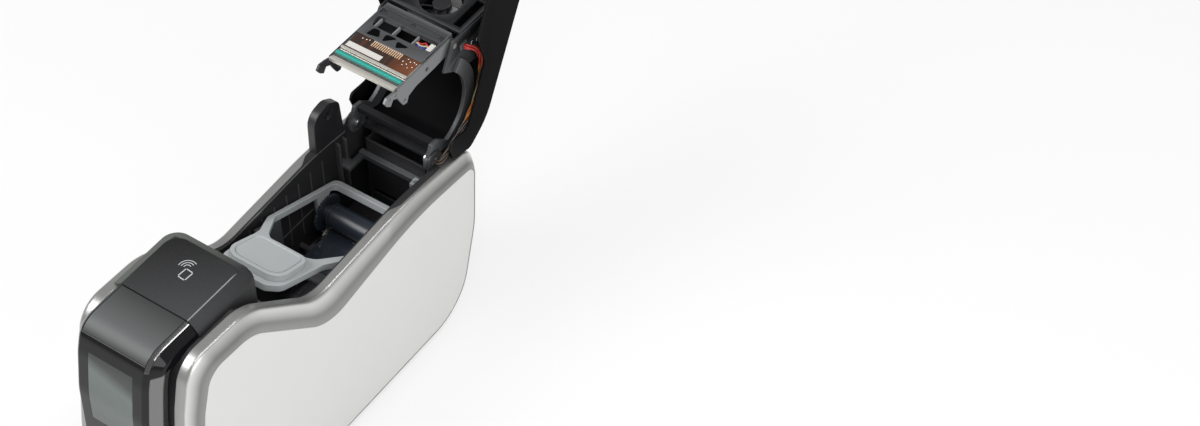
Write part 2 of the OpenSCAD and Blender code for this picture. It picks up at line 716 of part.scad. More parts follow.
module ribbon_gear() {
    color([0.85, 0.85, 0.8]) union() {
        rod_x(-wall_x1 - 4, -ribbon_gear_x, takeup_y, ribbon_gear_z, shaft_r);
        gear_x(-ribbon_gear_x - 2.9, -ribbon_gear_x, takeup_y, ribbon_gear_z, ribbon_teeth, ribbon_turn);
    }
}
hump_y0 = 112;
hump_y1 = hinge_y - ear_r - 1.5;
hump_z = bay_h + 48;
module ribbon_gearbox() {
    // Rounded housing on the left rim, over the drive of the ribbon
    color([0.2, 0.21, 0.22]) difference() {
        along_x(-xr + 3.2, -xi + 1.2) polygon(rounded([[hump_y0, bay_h - 3, 0], [hump_y0 + 2, hump_z - 4, 14],
            [hump_y0 + 23, hump_z, 12], [hump_y1 - 3, hump_z - 9, 9], [hump_y1, bay_h - 3, 0]]));
        along_x(-xo, xo) polygon(ridge);
        // Slots in the inner face
        for (i = [0:4]) rotate_about(hump_y0 + 22, hump_z - 20, 14 * i - 24)
            block(-xi - 0.6, xi, hump_y0 + 21.4, hump_y0 + 22.6, hump_z - 17.5, hump_z - 9);
    }
}
module rotate_about(y, z, a) {
    translate([0, y, z]) rotate([a, 0, 0]) translate([0, -y, -z]) children();
}
module lid_switch() {
    y0 = bar_y - 6;
    color([0.62, 0.64, 0.65]) union() {
        block(xi - 5.5, xi, y0, y0 + 9, bay_h - 13, bay_h - 2);
        block(xi - 4, xi - 2, y0 + 2, y0 + 5, bay_h - 3, bay_h + 1);
    }
}
module main_board() {
    z0 = tray_top + 7;
    board_half = xi - 5;
    color([0.1, 0.35, 0.2]) difference() {
        block(-board_half, board_half, yf + 112, yf + 232, z0, z0 + 1.6);
        for (x = [5 - board_half, board_half - 5], y = [yf + 118, yf + 226]) rod_z(z0 - 1, z0 + 3, x, y, 1.7);
    }
    // Stand-offs, connectors and the main chips
    color([0.7, 0.6, 0.35]) for (x = [5 - board_half, board_half - 5], y = [yf + 118, yf + 226])
        difference() {
        rod_z(tray_top, z0, x, y, 3);
        rod_z(tray_top + 2, z0 + 1, x, y, 1.7);
    }
    color([0.1, 0.1, 0.1]) {
        block(-10, 8, yf + 150, yf + 168, z0 + 1.6, z0 + 3.2);
        block(18, 30, yf + 140, yf + 150, z0 + 1.6, z0 + 3);
        block(-34, -28, yf + 150, yf + 190, z0 + 1.6, z0 + 9);
        block(24, 30, yf + 176, yf + 206, z0 + 1.6, z0 + 9);
    }
    color([0.3, 0.3, 0.35]) for (i = [0:2]) rod_z(z0 + 1.6, z0 + 13, -14 + 12 * i, yf + 204, 4);
}
module power_supply() {
    y0 = yf + 244;
    color([0.68, 0.69, 0.7]) difference() {
        block(-xi + 7, xi - 7, y0, y0 + 76, tray_top, tray_top + 34);
        block(-xi + 8.2, xi - 8.2, y0 + 1.2, y0 + 74.8, tray_top + 1.2, tray_top + 32.8);
        for (i = [0:8]) block(-32 + 7.4 * i, -29 + 7.4 * i, y0 + 14, y0 + 62, tray_top + 30, tray_top + 40);
    }
}
module case_screws() {
    // Flat heads under the side panels
    head_x = xo - panel_t - screw_head_h;
    color([0.5, 0.51, 0.53]) both_sides() for (p = side_screws) {
        rod_x(head_x, head_x + screw_head_h, p[0], p[1], screw_head_r);
        rod_x(head_x - 10, head_x + 0.1, p[0], p[1], screw_r);
    }
}

// ---------------------------------------------------------------- lid

drawn_open = 116.6;                   // opening at which the frame and the head are laid out
// Turns the closed lid into its open place
module on_lid() {
    translate([0, hinge_y, hinge_z]) rotate([-lid_open, 0, 0]) translate([0, -hinge_y, -hinge_z]) children();
}
// Places what is laid out in the open lid, measured from the hinge
module in_lid() {
    translate([0, hinge_y, hinge_z]) rotate([drawn_open - lid_open, 0, 0]) children();
}
lid_front = deck_rear + 1.3;
lid_low = bay_h + 5.5;
// The side walls are cut away beside the hinge arms and the wires
lid_arch = 22.5;
lid_corners = [[lid_front, bay_h + 38, 0], [lid_front, crown_h - 6, 8], [hinge_y - 36, bay_h + 57, 60],
    [hinge_y - 9, bay_h + 41, 10], [hinge_y - 4, bay_h + 16, 0], [hinge_y - 15, lid_low, 0],
    [hinge_y - 22, lid_low, 4], [hinge_y - 32, lid_low + lid_arch, 9],
    [hinge_y - 98, lid_low + lid_arch, 16], [hinge_y - 124, lid_low, 16], [lid_front + 47, lid_low, 20]];
lid_outer = rounded(lid_corners);
lid_inner = rounded([[lid_front + lid_wall, bay_h - 20, 0], [lid_front + lid_wall, crown_h - 6 - lid_wall, 6],
    [hinge_y - 36.5, bay_h + 57 - lid_wall, 58], [hinge_y - 9 - lid_wall, bay_h + 41 - lid_wall * 0.6, 8],
    [hinge_y - 4 - lid_wall * 1.05, bay_h + 16, 0], [hinge_y - 4 - lid_wall, bay_h - 20, 0]]);
module lid_cavity() { on_lid() along_x(-xr + lid_wall, xr - lid_wall) polygon(lid_inner); }
module lid_shell() {
    edge = 2;
    color([0.07, 0.07, 0.08]) on_lid() difference() {
        along_x(-xr, xr) polygon(lid_outer);
        along_x(-xr + lid_wall, xr - lid_wall) polygon(lid_inner);
        // Slanted edge along both sides of the top
        for (s = [-1, 1]) along_y(lid_front - 5, hinge_y + 5)
            polygon([[s * (xr - edge), crown_h], [s * (xr + 1), crown_h],
                [s * (xr + 1), crown_h - 6 - edge], [s * xr, crown_h - 6 - edge],
                [s * (xr - edge), crown_h - 6]]);
    }
}
arm_x0 = xi - 6;                      // inner face of a hinge arm
arm_c = [10, 48];                     // centre of the arm's arc, from the hinge
arm_out = 56;
module arm_solid() {
    t = arm_t;
    difference() {
        union() {
            // Arc from the boss up to the frame
            intersection() {
                translate([arm_x0, arm_c[0], arm_c[1]]) rotate([0, 90, 0]) difference() {
                    cylinder(h = t, r = arm_out, $fn = 96);
                    translate([0, 0, -1]) cylinder(h = t + 2, r = arm_out - arm_w, $fn = 96);
                }
                along_x(arm_x0 - 1, arm_x0 + t + 1) polygon([arm_c, [arm_c[0] - 4, arm_c[1] - 90],
                    [arm_c[0] + 90, arm_c[1] - 90], [arm_c[0] + 90, arm_c[1] + 90]]);
            }
            rod_x(arm_x0, arm_x0 + t, 0, 0, ear_r - 1);
            along_x(arm_x0, arm_x0 + t) polygon([[-4, -9], [arm_c[0] + 6, arm_c[1] - arm_out + 0.5],
                [arm_c[0] + 14, arm_c[1] - arm_out + arm_w], [10, 18], [0, 19.5], [-7, 6]]);
        }
        rod_x(arm_x0 - 1, arm_x0 + t + 1, 0, 0, hinge_r + 0.02);
        // Flat along the lid's rear wall
        along_x(arm_x0 - 1, arm_x0 + t + 1) polygon([[12, 1.7], [45, -7.3], [45, -30], [12, -30]]);
    }
}
module lid_arm_right() { color([0.24, 0.25, 0.26]) in_lid() arm_solid(); }
module lid_arm_left() { color([0.24, 0.25, 0.26]) in_lid() mirror([1, 0, 0]) arm_solid(); }
module hinge_pins() {
    color([0.6, 0.61, 0.63]) in_lid() both_sides() union() {
        rod_x(arm_x0 - 2, xi - 0.3, 0, 0, hinge_r);
        rod_x(arm_x0 - 3.5, arm_x0 - 0.02, 0, 0, hinge_r + 1.6);
    }
}
plate_top = 110;                      // table of the lid's frame, above the hinge
plate_thick = 3;
side_t = 2.4;
side_x0 = arm_x0 - side_t;
fan_y = 82;
pivot_y = 46;
pivot_z = 103;
pivot_r = 2.5;
module lid_frame() {
    color([0.3, 0.31, 0.32]) difference() {
        intersection() {
            in_lid() union() {
                both_sides() along_x(side_x0, arm_x0) polygon([[28, 84], [36, 99], [44, plate_top],
                    [125, plate_top - 3],
                    [104, 60], [62, 68], [40, 76]]);
                block(-side_x0 - 1, side_x0 + 1, 56, 125, plate_top - plate_thick, plate_top);
                // Bar between the two arms
                block(-arm_x0, arm_x0, 2, 9, 12, 18);
                // Clip that holds the ends of the wires
                block(side_x0 + 1, arm_x0 + 2.7, 50, 60, 95, 101);
            }
            lid_cavity();
        }
        in_lid() {
            rod_z(plate_top - 10, plate_top + 1, 0, fan_y, fan_r);
            for (s = [-1, 1]) {
                rod_x(s * side_x0 - 5, s * side_x0 + 5, pivot_y, pivot_z, pivot_r + fit);
                block(s * (xi - 16) - 4, s * (xi - 16) + 4, 62, 100, plate_top - 10, plate_top + 1);
            }
        }
    }
}
module fan_housing() {
    color([0.13, 0.13, 0.14]) in_lid() difference() {
        union() {
            difference() {
                block(-22, 22, fan_y - 22, fan_y + 22, plate_top - plate_thick - 12, plate_top - plate_thick);
                rod_z(plate_top - 20, plate_top, 0, fan_y, fan_r);
            }
            for (a = [0:120:240]) translate([0, fan_y, plate_top - plate_thick - 12]) rotate(a)
                block(-1, 1, 0, fan_r + 0.5, 0, 1.2);
            rod_z(plate_top - plate_thick - 12, plate_top - plate_thick - 10.8, 0, fan_y, 8);
            rod_z(plate_top - plate_thick - 11, plate_top - plate_thick - 4, 0, fan_y, 2);
        }
        for (x = [-18.5, 18.5], y = [-18.5, 18.5]) rod_z(plate_top - 20, plate_top, x, fan_y + y, 1.6);
    }
}
module fan_rotor() {
    z0 = plate_top - plate_thick - 10.4;
    color([0.1, 0.1, 0.11]) in_lid() difference() {
        union() {
            rod_z(z0, z0 + 9, 0, fan_y, 8.5);
            for (a = [0:360 / 7:359]) translate([0, fan_y, z0 + 4.5]) rotate(a) translate([13, 0, 0])
                rotate([38, 0, 0]) cube([11, 9, 0.9], center = true);
        }
        rod_z(z0 - 1, z0 + 7, 0, fan_y, 2 + fit);
    }
}

// Wires from the head's clip down the right arm and into the hinge: x, then y and z from the hinge
harness_route = [[xi - 3.2, 55, 98], [xi - 1.6, 55, 98], [xi + 0.2, 55.8, 97.6], [xi + 1.6, 57.6, 96.5],
    [xi + 2.5, 60.4, 94.3], [xi + 2.9, 63.6, 90.6], [xi + 3, 67, 85], [xi + 3, 69.6, 76], [xi + 3, 70, 66],
    [xi + 3, 67.5, 52], [xi + 3, 62, 38], [xi + 3, 54, 26], [xi + 3.1, 44, 17], [xi + 3.4, 33, 11],
    [xi + 4, 22, 7], [xi + 4.7, 12, 3.8], [xi + 5, 4.5, 1.5], [xi + 4.7, 2.8, 0.9], [xi + 3.8, 1.3, 0.4],
    [xi + 2.5, 0.3, 0.1], [xi + 1, 0, 0], [xi + 0.1, 0, 0]];
wire_r = 0.9;
wires = [["red", 1, 1], ["firebrick", -1, 1], ["orange", 1, -1], ["beige", -1, -1]];
function along(i) = unit(harness_route[min(i + 1, len(harness_route) - 1)] - harness_route[max(i - 1, 0)]);
// One side direction for each point of the route, carried along without a twist
function carried(v, d) = unit(v - d * (v * d));
function side_dirs(i, v) = i == len(harness_route) ? []
    : let (w = carried(v, along(i))) concat([w], side_dirs(i + 1, w));
harness_sides = side_dirs(0, [0, 0, 1]);
function beside(i, a, b) = harness_route[i] + harness_sides[i] * a + cross(along(i), harness_sides[i]) * b;
module wire(a, b) {
    n = len(harness_route);
    sides = 8;
    points = [for (i = [0:n - 1], k = [0:sides - 1])
        beside(i, a + wire_r * cos(360 * k / sides), b + wire_r * sin(360 * k / sides))];
    polyhedron(points = points, faces = concat([[for (k = [0:sides - 1]) k]],
        [[for (k = [sides - 1:-1:0]) (n - 1) * sides + k]],
        [for (i = [0:n - 2], k = [0:sides - 1]) let (a = i * sides + k, b = i * sides + (k + 1) % sides)
            [a, a + sides, b + sides, b]]));
}
module lid_harness() {
    in_lid() for (w = wires) color(w[0]) wire(w[1], w[2]);
}

// ---------------------------------------------------------------- print head

head_half = side_x0 - 1;            // half width over the head's brackets
bracket_t = 2.3;
head_in = head_half - bracket_t;
strip_half = head_in - strip_end;
opening_pitch = (head_in + 0.7) / 2;  // between the openings of the carriage's plate
strip_y = -24;
strip_z = 113;
sink_top = strip_z - 2.4;
module head_carriage() {
    color([0.3, 0.31, 0.32]) in_lid() union() {
        both_sides() along_x(head_in, head_half) polygon([[-31, 109], [-38, 111], [-46, 112],
            [-50, 108], [-47, 103],
            [-42, 99], [-38, 104], [-32, 101], [-30, 96], [-25, 87], [-20, 86], [-17, 92], [-6, 95], [20, 95],
            [44, 97], [51, 100], [51, 106], [44, sink_top], [-31, sink_top]]);
        // Pivot pins in the lid's frame
        both_sides() rod_x(head_half - 0.1, arm_x0 - 0.2, pivot_y, pivot_z, pivot_r);
        // Plate with openings behind the board
        difference() {
            block(-head_in - 0.5, head_in + 0.5, 14, 50, sink_top - 4, sink_top - 0.5);
            for (i = [-1.5:1:1.5]) translate([opening_pitch * i, 0, sink_top - 6]) linear_extrude(8)
                polygon([[2 - opening_pitch / 2, 18], [opening_pitch / 2 - 2, 18],
                    [opening_pitch / 2 - 4, 44], [4 - opening_pitch / 2, 44]]);
        }
        block(-head_in - 0.5, head_in + 0.5, 46, 50, sink_top - 8, sink_top - 0.5);
    }
}
module head_heatsink() {
    color([0.62, 0.63, 0.65]) in_lid() union() {
        block(-head_in, head_in, -31, 13.8, sink_top - 5, sink_top);
        for (i = [0:8]) block(-head_in, head_in, -27 + 4.6 * i, -25.4 + 4.6 * i, sink_top - 10,
            sink_top - 4.5);
    }
}
module head_bars() {
    color([0.85, 0.85, 0.83]) in_lid() {
        block(-head_in, head_in, -34.2, -31, sink_top - 2, strip_z - 1);
        block(-head_in, head_in, strip_y + 6.4, strip_y + 9, sink_top, strip_z - 0.4);
    }
}
module thermal_strip() {
    color([0.05, 0.6, 0.5]) in_lid() union() {
        block(-strip_half, strip_half, strip_y - strip_w / 2, strip_y + strip_w / 2, sink_top, strip_z - 0.6);
        block(-strip_half + 4, strip_half - 4, strip_y - 0.5, strip_y + 0.5, strip_z - 0.7, strip_z - 0.2);
    }
}
module head_board() {
    color([0.5, 0.22, 0.08]) in_lid() union() {
        block(-head_in + 1, head_in - 1, strip_y + 9.4, 13.6, sink_top, sink_top + 1.2);
        for (i = [0:11]) block(-4 + 2.2 * i, -3 + 2.2 * i, 1, 9, sink_top + 1.1, sink_top + 2);
        block(-head_in + 2.3, 4, -13, -7, sink_top + 1.1, sink_top + 1.5);
    }
}

// ---------------------------------------------------------------- ribbon cartridge

cart_half = bay_half - cart_gap;
cart_in = cart_half - rail_w;
cart_y = 134;                         // far end of the frame
cart_z = 150;                         // top of the frame at its far end
handle_v = 134;                       // where the handle starts, from the far end
// Slopes the frame: its far end is low, and v runs from there towards the handle
module on_cart() {
    translate([0, cart_y, cart_z]) rotate([-cart_tilt, 0, 0]) mirror([0, 1, 0]) children();
}
module cart_plan(d) {
    polygon(rounded([[-cart_half, 0, 7], [-cart_half, 100, 10], [-cart_half + 9.5, 122, 12],
        [-cart_half + 12.5, cart_l - 10, 14], [-cart_half + 23.5, cart_l, 8], [cart_half - 23.5, cart_l, 8],
        [cart_half - 12.5, cart_l - 10, 14], [cart_half - 9.5, 122, 12], [cart_half, 100, 10],
            [cart_half, 0, 7]]));
}
module cart_window() {
    polygon(rounded([[-cart_in, 7, 5], [-cart_in, 94, 10], [-cart_in + 16.8, 126, 16],
        [cart_in - 16.8, 126, 16], [cart_in, 94, 10], [cart_in, 7, 5]]));
}
cheek_low = film_z + film_t + 0.6;
module cheek(y, r, into) {
    // Side plate from the rail down to an axle
    difference() {
        intersection() {
            union() {
                rod_x(cart_in, cart_half, y, spool_z, r);
                along_x(cart_in, cart_half) polygon([[y - r, spool_z], [y + r, spool_z],
                    [y + r, spool_z + 90], [y - r, spool_z + 90]]);
            }
            block(0, xi, -xo, cart_y, cheek_low, 300);
            // Only below the rail
            on_cart() block(0, xi, 0, cart_l, -90, -frame_t + into);
        }
        rod_x(cart_in - 1, cart_half + 1, y, spool_z, shaft_r + fit);
    }
}
module cartridge_frame() {
    color([0.55, 0.58, 0.6]) {
        on_cart() translate([0, 0, -frame_t]) linear_extrude(frame_t) difference() {
            cart_plan();
            cart_window();
        }
        both_sides() cheek(takeup_y, 9, 0.02);
    }
}
handle_half = cart_half - 16.5;       // half width of the handle where it starts
function handle_plan(d, v0, v1, r0, r1) =
    let (a = handle_half - d, b = handle_half + 2 - d)
    rounded([[-a, v0, r0], [-b, v1, r1], [b, v1, r1], [a, v0, r0]]);
module cartridge_handle() {
    color([0.5, 0.53, 0.55]) on_cart() difference() {
        linear_extrude(7) polygon(handle_plan(0, handle_v, cart_l - 6, 10, 15));
        // Hollow underneath, and a shallow panel on top
        translate([0, 0, -1]) linear_extrude(6) polygon(handle_plan(2.5, handle_v + 2.5, cart_l - 8.5,
            8, 13));
        translate([0, 0, 6.4]) linear_extrude(2) polygon(handle_plan(4, handle_v + 4, cart_l - 10, 7, 12));
    }
}
module cartridge_shroud() {
    r = roll_r + 1.2;
    color([0.18, 0.19, 0.2]) {
        both_sides() cheek(supply_y, r + 1.6, 0);
        difference() {
            intersection() {
                rod_x(-cart_in, cart_in, supply_y, spool_z, r + 1.6);
                block(-cart_half, cart_half, 0, supply_y + 4, cheek_low, spool_z + r + 2);
            }
            rod_x(-cart_half, cart_half, supply_y, spool_z, r);
        }
    }
}
module ribbon_film() {
    color([0.15, 0.18, 0.22]) block(-film_w / 2, film_w / 2, supply_y, takeup_y, film_z, film_z + film_t);
}
module spool(y, wound) {
    difference() {
        union() {
            rod_x(-film_w / 2, film_w / 2, y, spool_z, wound);
            rod_x(-cart_half + 1, cart_half - 1, y, spool_z, shaft_r);
            for (s = [-1, 1]) rod_x(s * (film_w / 2 + 1.2) - 1, s * (film_w / 2 + 1.2) + 1, y, spool_z,
                roll_r - 0.2);
        }
    }
}
module supply_spool() { color([0.2, 0.22, 0.25]) spool(supply_y, roll_r - film_t - 0.3); }
module takeup_spool() {
    color([0.12, 0.12, 0.13]) union() {
        spool(takeup_y, roll_r - film_t - 0.3);
        gear_x(-ribbon_gear_x - 2.6, -ribbon_gear_x - 0.3, takeup_y, spool_z, takeup_teeth, 0);
        rod_x(-ribbon_gear_x - 0.4, -ribbon_gear_x + 4.7, takeup_y, spool_z, 8);
    }
}

base_tray();
side_cover_left();
side_cover_right();
side_panel_left();
side_panel_right();
chassis_wall_left();
chassis_wall_right();
hinge_plates();
rear_cover();
input_hopper();
hopper_door();
front_frame();
front_panel();
display_lens();
display_module();
front_deck();
hood();
power_button();
output_bin();
output_door();
roller_cover();
transport_floor();
card_guides();
hopper_bar();
platen_roller();
feed_roller();
cleaning_roller();
idler_gear();
motor_pinion();
feed_motor();
ribbon_gear();
ribbon_gearbox();
lid_switch();
main_board();
power_supply();
power_inlet();
data_ports();
rubber_feet();
case_screws();
lid_shell();
lid_frame();
lid_arm_left();
lid_arm_right();
hinge_pins();
fan_housing();
fan_rotor();
lid_harness();
head_carriage();
head_heatsink();
head_bars();
thermal_strip();
head_board();
cartridge_frame();
cartridge_handle();
cartridge_shroud();
ribbon_film();
supply_spool();
takeup_spool();
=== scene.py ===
"""Dresses an id card printer: smooth shells, finishes, small parts, a studio stage and a camera."""

import math

import bmesh
import bpy
from bpy.props import FloatProperty, FloatVectorProperty, IntProperty, PointerProperty
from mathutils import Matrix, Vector


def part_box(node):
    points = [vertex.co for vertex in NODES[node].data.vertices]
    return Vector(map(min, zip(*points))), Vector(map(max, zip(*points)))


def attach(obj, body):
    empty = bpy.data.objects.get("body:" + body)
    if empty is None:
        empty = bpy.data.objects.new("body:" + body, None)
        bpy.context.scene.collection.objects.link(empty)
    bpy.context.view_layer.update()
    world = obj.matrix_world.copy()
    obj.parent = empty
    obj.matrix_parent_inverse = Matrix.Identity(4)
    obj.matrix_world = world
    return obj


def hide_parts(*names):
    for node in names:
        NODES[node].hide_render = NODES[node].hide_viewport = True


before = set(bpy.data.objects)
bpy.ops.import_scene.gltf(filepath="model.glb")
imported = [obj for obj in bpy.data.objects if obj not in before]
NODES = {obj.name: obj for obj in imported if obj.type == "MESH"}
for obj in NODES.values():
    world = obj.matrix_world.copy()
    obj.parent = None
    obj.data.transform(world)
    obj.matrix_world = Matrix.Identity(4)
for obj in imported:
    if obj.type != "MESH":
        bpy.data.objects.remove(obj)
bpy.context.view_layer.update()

bl_info = {
    "name": "Card Printer Dress",
    "version": (1, 0, 0),
    "blender": (4, 5, 0),
    "location": "View3D > Sidebar > Card Printer",
    "description": "Builds the shells, finishes and small parts of an id card printer around its frame",
    "category": "Object",
}

MM = 0.001
FINISH = {}

# Places that the shells share with the frame, in mm: y to the rear, z up
HALF_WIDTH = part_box("side_panel_right")[1][0] / MM
BAND_WIDTH = 8.5
RIM_WIDTH = 10.5
RIDGE_X = HALF_WIDTH - BAND_WIDTH
BAY_X = RIDGE_X - RIM_WIDTH
FRONT_Y = -204.0
REAR_Y = 204.0
FOOT_H = 4.0
FRONT_H = 260.0
BAY_H = 198.0
BAND_H = 17.0
HINGE_Y = 165.0
HINGE_Z = 200.0
COVER_WALL = 3.0
PANEL_T = 2.0
HOOD_TOP = 268.0
HOOD_SEAM = -138.5
FACE_SIDE = 27.6                # right edge of the upper front's flat face
HEAD_TOP = 112.0                # floor of the print head's pockets, above the hinge
STRIP_Y = HINGE_Y - 24.0        # middle line of the print head's strip
SHARP = 32.0                    # an edge that bends by more degrees than this is rounded


# ---------------------------------------------------------------- sizes and colours


def colour(name, text, value):
    return FloatVectorProperty(name=name, description=text, subtype="COLOR", size=3, min=0.0, max=1.0,
                               default=value)


def length(name, text, value, low, high):
    return FloatProperty(name=name, description=text, default=value * MM, min=low * MM, max=high * MM,
                         subtype="DISTANCE", unit="LENGTH", precision=5)


def power(name, text, value):
    return FloatProperty(name=name, description=text, default=value, min=0.0, max=200.0, subtype="POWER",
                         unit="POWER")


class PrinterColours(bpy.types.PropertyGroup):
    """Base colours of the printer's finishes"""

    silver: colour("Silver", "Paint of the side covers", (0.37, 0.37, 0.365))
    panel: colour("Side panels", "Moulded side panels", (0.65, 0.65, 0.635))
    hood: colour("Hood", "Textured hood", (0.021, 0.0214, 0.0226))
    charcoal: colour("Charcoal", "Front frame, tray, doors and rear cover", (0.03, 0.031, 0.034))
    inside: colour("Inside", "Black plastic of the bay and the deck", (0.016, 0.016, 0.018))
    gloss: colour("Gloss black", "Front panel", (0.006, 0.006, 0.007))
    lid: colour("Lid", "Satin shell of the lid", (0.0065, 0.0065, 0.0072))
    metal: colour("Frame grey", "Painted frame of the print head", (0.05, 0.052, 0.055))
    arm: colour("Arm grey", "Hinge arms", (0.065, 0.068, 0.072))
    strip: colour("Glaze", "Glazed strip of the print head", (0.012, 0.24, 0.2))
    board: colour("Board", "Board of the print head", (0.09, 0.026, 0.008))
    cartridge: colour("Cartridge", "Frame of the ribbon cartridge", (0.35, 0.37, 0.375))
    film: colour("Film", "Ribbon film and its rolls", (0.02, 0.026, 0.035))


class PrinterSizes(bpy.types.PropertyGroup):
    """Sizes that the dressing adds to the frame's own"""

    edge: length("Edge", "Rounding of moulded edges", 0.45, 0.1, 1.0)
    ridge: length("Ridge", "Rounding between the rim and the band of the side covers", 3.2, 1.0, 5.0)
    wire: length("Wire", "Radius of one wire in the lid", 0.95, 0.5, 1.2)
    steps: IntProperty(name="Corner steps", description="Steps on each rounded corner of the side covers",
                       default=18, min=6, max=32)


class PrinterLight(bpy.types.PropertyGroup):
    """Level of the studio lamps"""

    key: power("Key", "Power of the key lamp", 26.0)
    fill: power("Fill", "Power of the fill lamp", 12.0)
    strip: power("Strip", "Power of the long lamp overhead, which draws the ridges", 20.0)
    sky: FloatProperty(name="Sky", description="Level of the surrounding light", default=0.4, min=0.0, max=1.0,
                       subtype="FACTOR")


# ---------------------------------------------------------------- node trees


def shade(value, share):
    """A share of a colour, or a multiple."""
    return tuple(min(c * share, 1.0) for c in value)


class Value:
    """A socket on which + - * and abs add Math nodes."""

    def __init__(self, net, socket):
        self.net = net
        self.socket = socket

    def math(self, operation, other=0.0, clamp=False, swap=False):
        node = self.net.tree.nodes.new("ShaderNodeMath")
        node.operation = operation
        node.use_clamp = clamp
        for socket, value in zip(node.inputs, (other, self) if swap else (self, other)):
            self.net.feed(socket, value)
        return Value(self.net, node.outputs[0])

    def __add__(self, other):
        return self.math("ADD", other)

    def __sub__(self, other):
        return self.math("SUBTRACT", other)

    def __rsub__(self, other):
        return self.math("SUBTRACT", other, swap=True)

    def __mul__(self, other):
        return self.math("MULTIPLY", other)

    def __abs__(self):
        return self.math("ABSOLUTE")

    def clipped(self):
        return self.math("ADD", 0.0, clamp=True)

    __radd__ = __add__
    __rmul__ = __mul__


class Net:
    """A node tree under construction."""

    def __init__(self, tree):
        self.tree = tree

    def feed(self, socket, value):
        if isinstance(value, Value):
            self.tree.links.new(value.socket, socket)
        elif socket.type == "RGBA" and len(value) == 3:
            socket.default_value = (*value, 1.0)
        else:
            socket.default_value = value

    def node(self, kind, settings=None, out=0, **sockets):
        node = self.tree.nodes.new(kind)
        for key, value in (settings or {}).items():
            setattr(node, key, value)
        for key, value in sockets.items():
            named = [s for s in node.inputs if s.name == key.replace("_", " ")]
            self.feed(([s for s in named if s.enabled] or named)[0], value)
        return Value(self, node.outputs[out])


class Finish(Net):
    """A material under construction, with one main shader. Its sizes and places are in mm."""

    def __init__(self, name, **sockets):
        self.material = bpy.data.materials.new(name)
        self.material.use_nodes = True
        super().__init__(self.material.node_tree)
        self.tree.nodes.clear()
        self.out = self.tree.nodes.new("ShaderNodeOutputMaterial")
        self.main = self.tree.nodes.new("ShaderNodeBsdfPrincipled")
        self.tree.links.new(self.main.outputs[0], self.out.inputs[0])
        self.made(**sockets)

    def made(self, **sockets):
        """Sets or links sockets of the main shader and gives back the material."""
        for name, value in sockets.items():
            self.feed(self.main.inputs[name.replace("_", " ")], value)
        return self.material

    def place(self):
        return self.node("ShaderNodeTexCoord", out=3)

    def axis(self, which):
        return self.node("ShaderNodeSeparateXYZ", out="XYZ".index(which), Vector=self.place())

    def noise(self, size, detail=2.0, rough=0.5, stretch=(1, 1, 1)):
        """Noise whose cells are about size across."""
        where = self.node("ShaderNodeMapping", Vector=self.place(), Scale=stretch)
        return self.node("ShaderNodeTexNoise", Vector=where, Scale=1.0 / (size * MM), Detail=detail,
                         Roughness=rough)

    def pits(self, cell, grain):
        """Pits of an eroded mould, and their height with a finer grain over them."""
        pits = self.node("ShaderNodeTexVoronoi", {"feature": "SMOOTH_F1"}, Vector=self.place(),
                         Scale=1.0 / (cell * MM), Smoothness=0.6)
        return pits, pits * 0.7 + self.noise(grain, 3.0) * 0.5

    def mix(self, factor, a, b):
        node = self.tree.nodes.new("ShaderNodeMix")
        node.data_type = "RGBA"
        for i, value in ((0, factor), (6, a), (7, b)):
            self.feed(node.inputs[i], value)
        return Value(self, node.outputs[2])

    def shades(self, factor, base, low, high):
        """From one share of a colour to another."""
        return self.mix(factor, shade(base, low), shade(base, high))

    def ramp(self, value, low, high):
        """0 at the first of two values, 1 at the second."""
        return self.node("ShaderNodeMapRange", {"clamp": True}, Value=value, From_Min=low, From_Max=high)

    def span(self, place, low, high):
        """0 at the first of two places, 1 at the second."""
        return self.ramp(place, low * MM, high * MM)

    def near(self, place, at, inner, outer):
        """1 within inner of a place, 0 beyond outer."""
        return 1.0 - self.span(abs(place - at * MM), inner, outer)

    def bump(self, height, depth):
        return self.node("ShaderNodeBump", Height=height, Distance=depth * MM, Strength=1.0)

    def edge_wear_and_glint(self):
        """1 on sharp outer edges, from the pointiness of the mesh."""
        return self.ramp(self.node("ShaderNodeNewGeometry", out=7), 0.53, 0.62)


# ---------------------------------------------------------------- finishes


def moulded(name, base, rough, grain=0.6, depth=0.04, mottle=0.08, wear=0.0, metal=0.0, gloss=0.5):
    """Moulded plastic or paint: fine grain, slight mottling, duller patches and paler edges."""
    f = Finish(name, Metallic=metal, Specular_IOR_Level=gloss)
    patches = f.noise(35, 3.0)
    fine = f.noise(grain)
    tint = f.shades(patches, base, 1 - mottle, 1 + mottle)
    if wear:
        tint = f.mix(f.edge_wear_and_glint() * wear, tint, tuple(c + 0.25 for c in base))
    return f.made(Base_Color=tint, Roughness=patches * 0.07 + fine * 0.05 + (rough - 0.06),
                  Normal=f.bump(fine, depth))


def two_tone(name, low, high, rough, level):
    """Painted frame whose part below a level is black plastic; its edges are a little paler from wear and much
    brighter from a painted edge highlight.
    """
    f = Finish(name, Specular_IOR_Level=0.3)
    up = f.span(f.axis("Z"), level - 1, level + 1)
    fine = f.noise(0.6)
    patches = f.noise(35, 3.0)
    # Sharp edges go to twelve times the paint's colour: a little wear, mostly a painted highlight along the edges
    edge_wear_and_glint = f.mix(f.edge_wear_and_glint() * 0.7, f.shades(patches, high, 0.85, 1.15), shade(high, 12))
    return f.made(Base_Color=f.mix(up, low, edge_wear_and_glint), Metallic=up * 0.25,
                  Roughness=fine * 0.06 + patches * 0.07 + (rough - 0.05), Normal=f.bump(fine, 0.05))


def eroded(name, base, rough, cell, depth):
    """Plastic from a mould with an eroded texture of small pits."""
    f = Finish(name, Specular_IOR_Level=0.35)
    pits, height = f.pits(cell, cell * 0.4)
    patches = f.noise(50)
    return f.made(Base_Color=f.shades(f.ramp(height, 0.3, 0.9), base, 0.7, 1.3),
                  Roughness=patches * 0.06 + pits * 0.06 + (rough - 0.05), Normal=f.bump(height, depth))


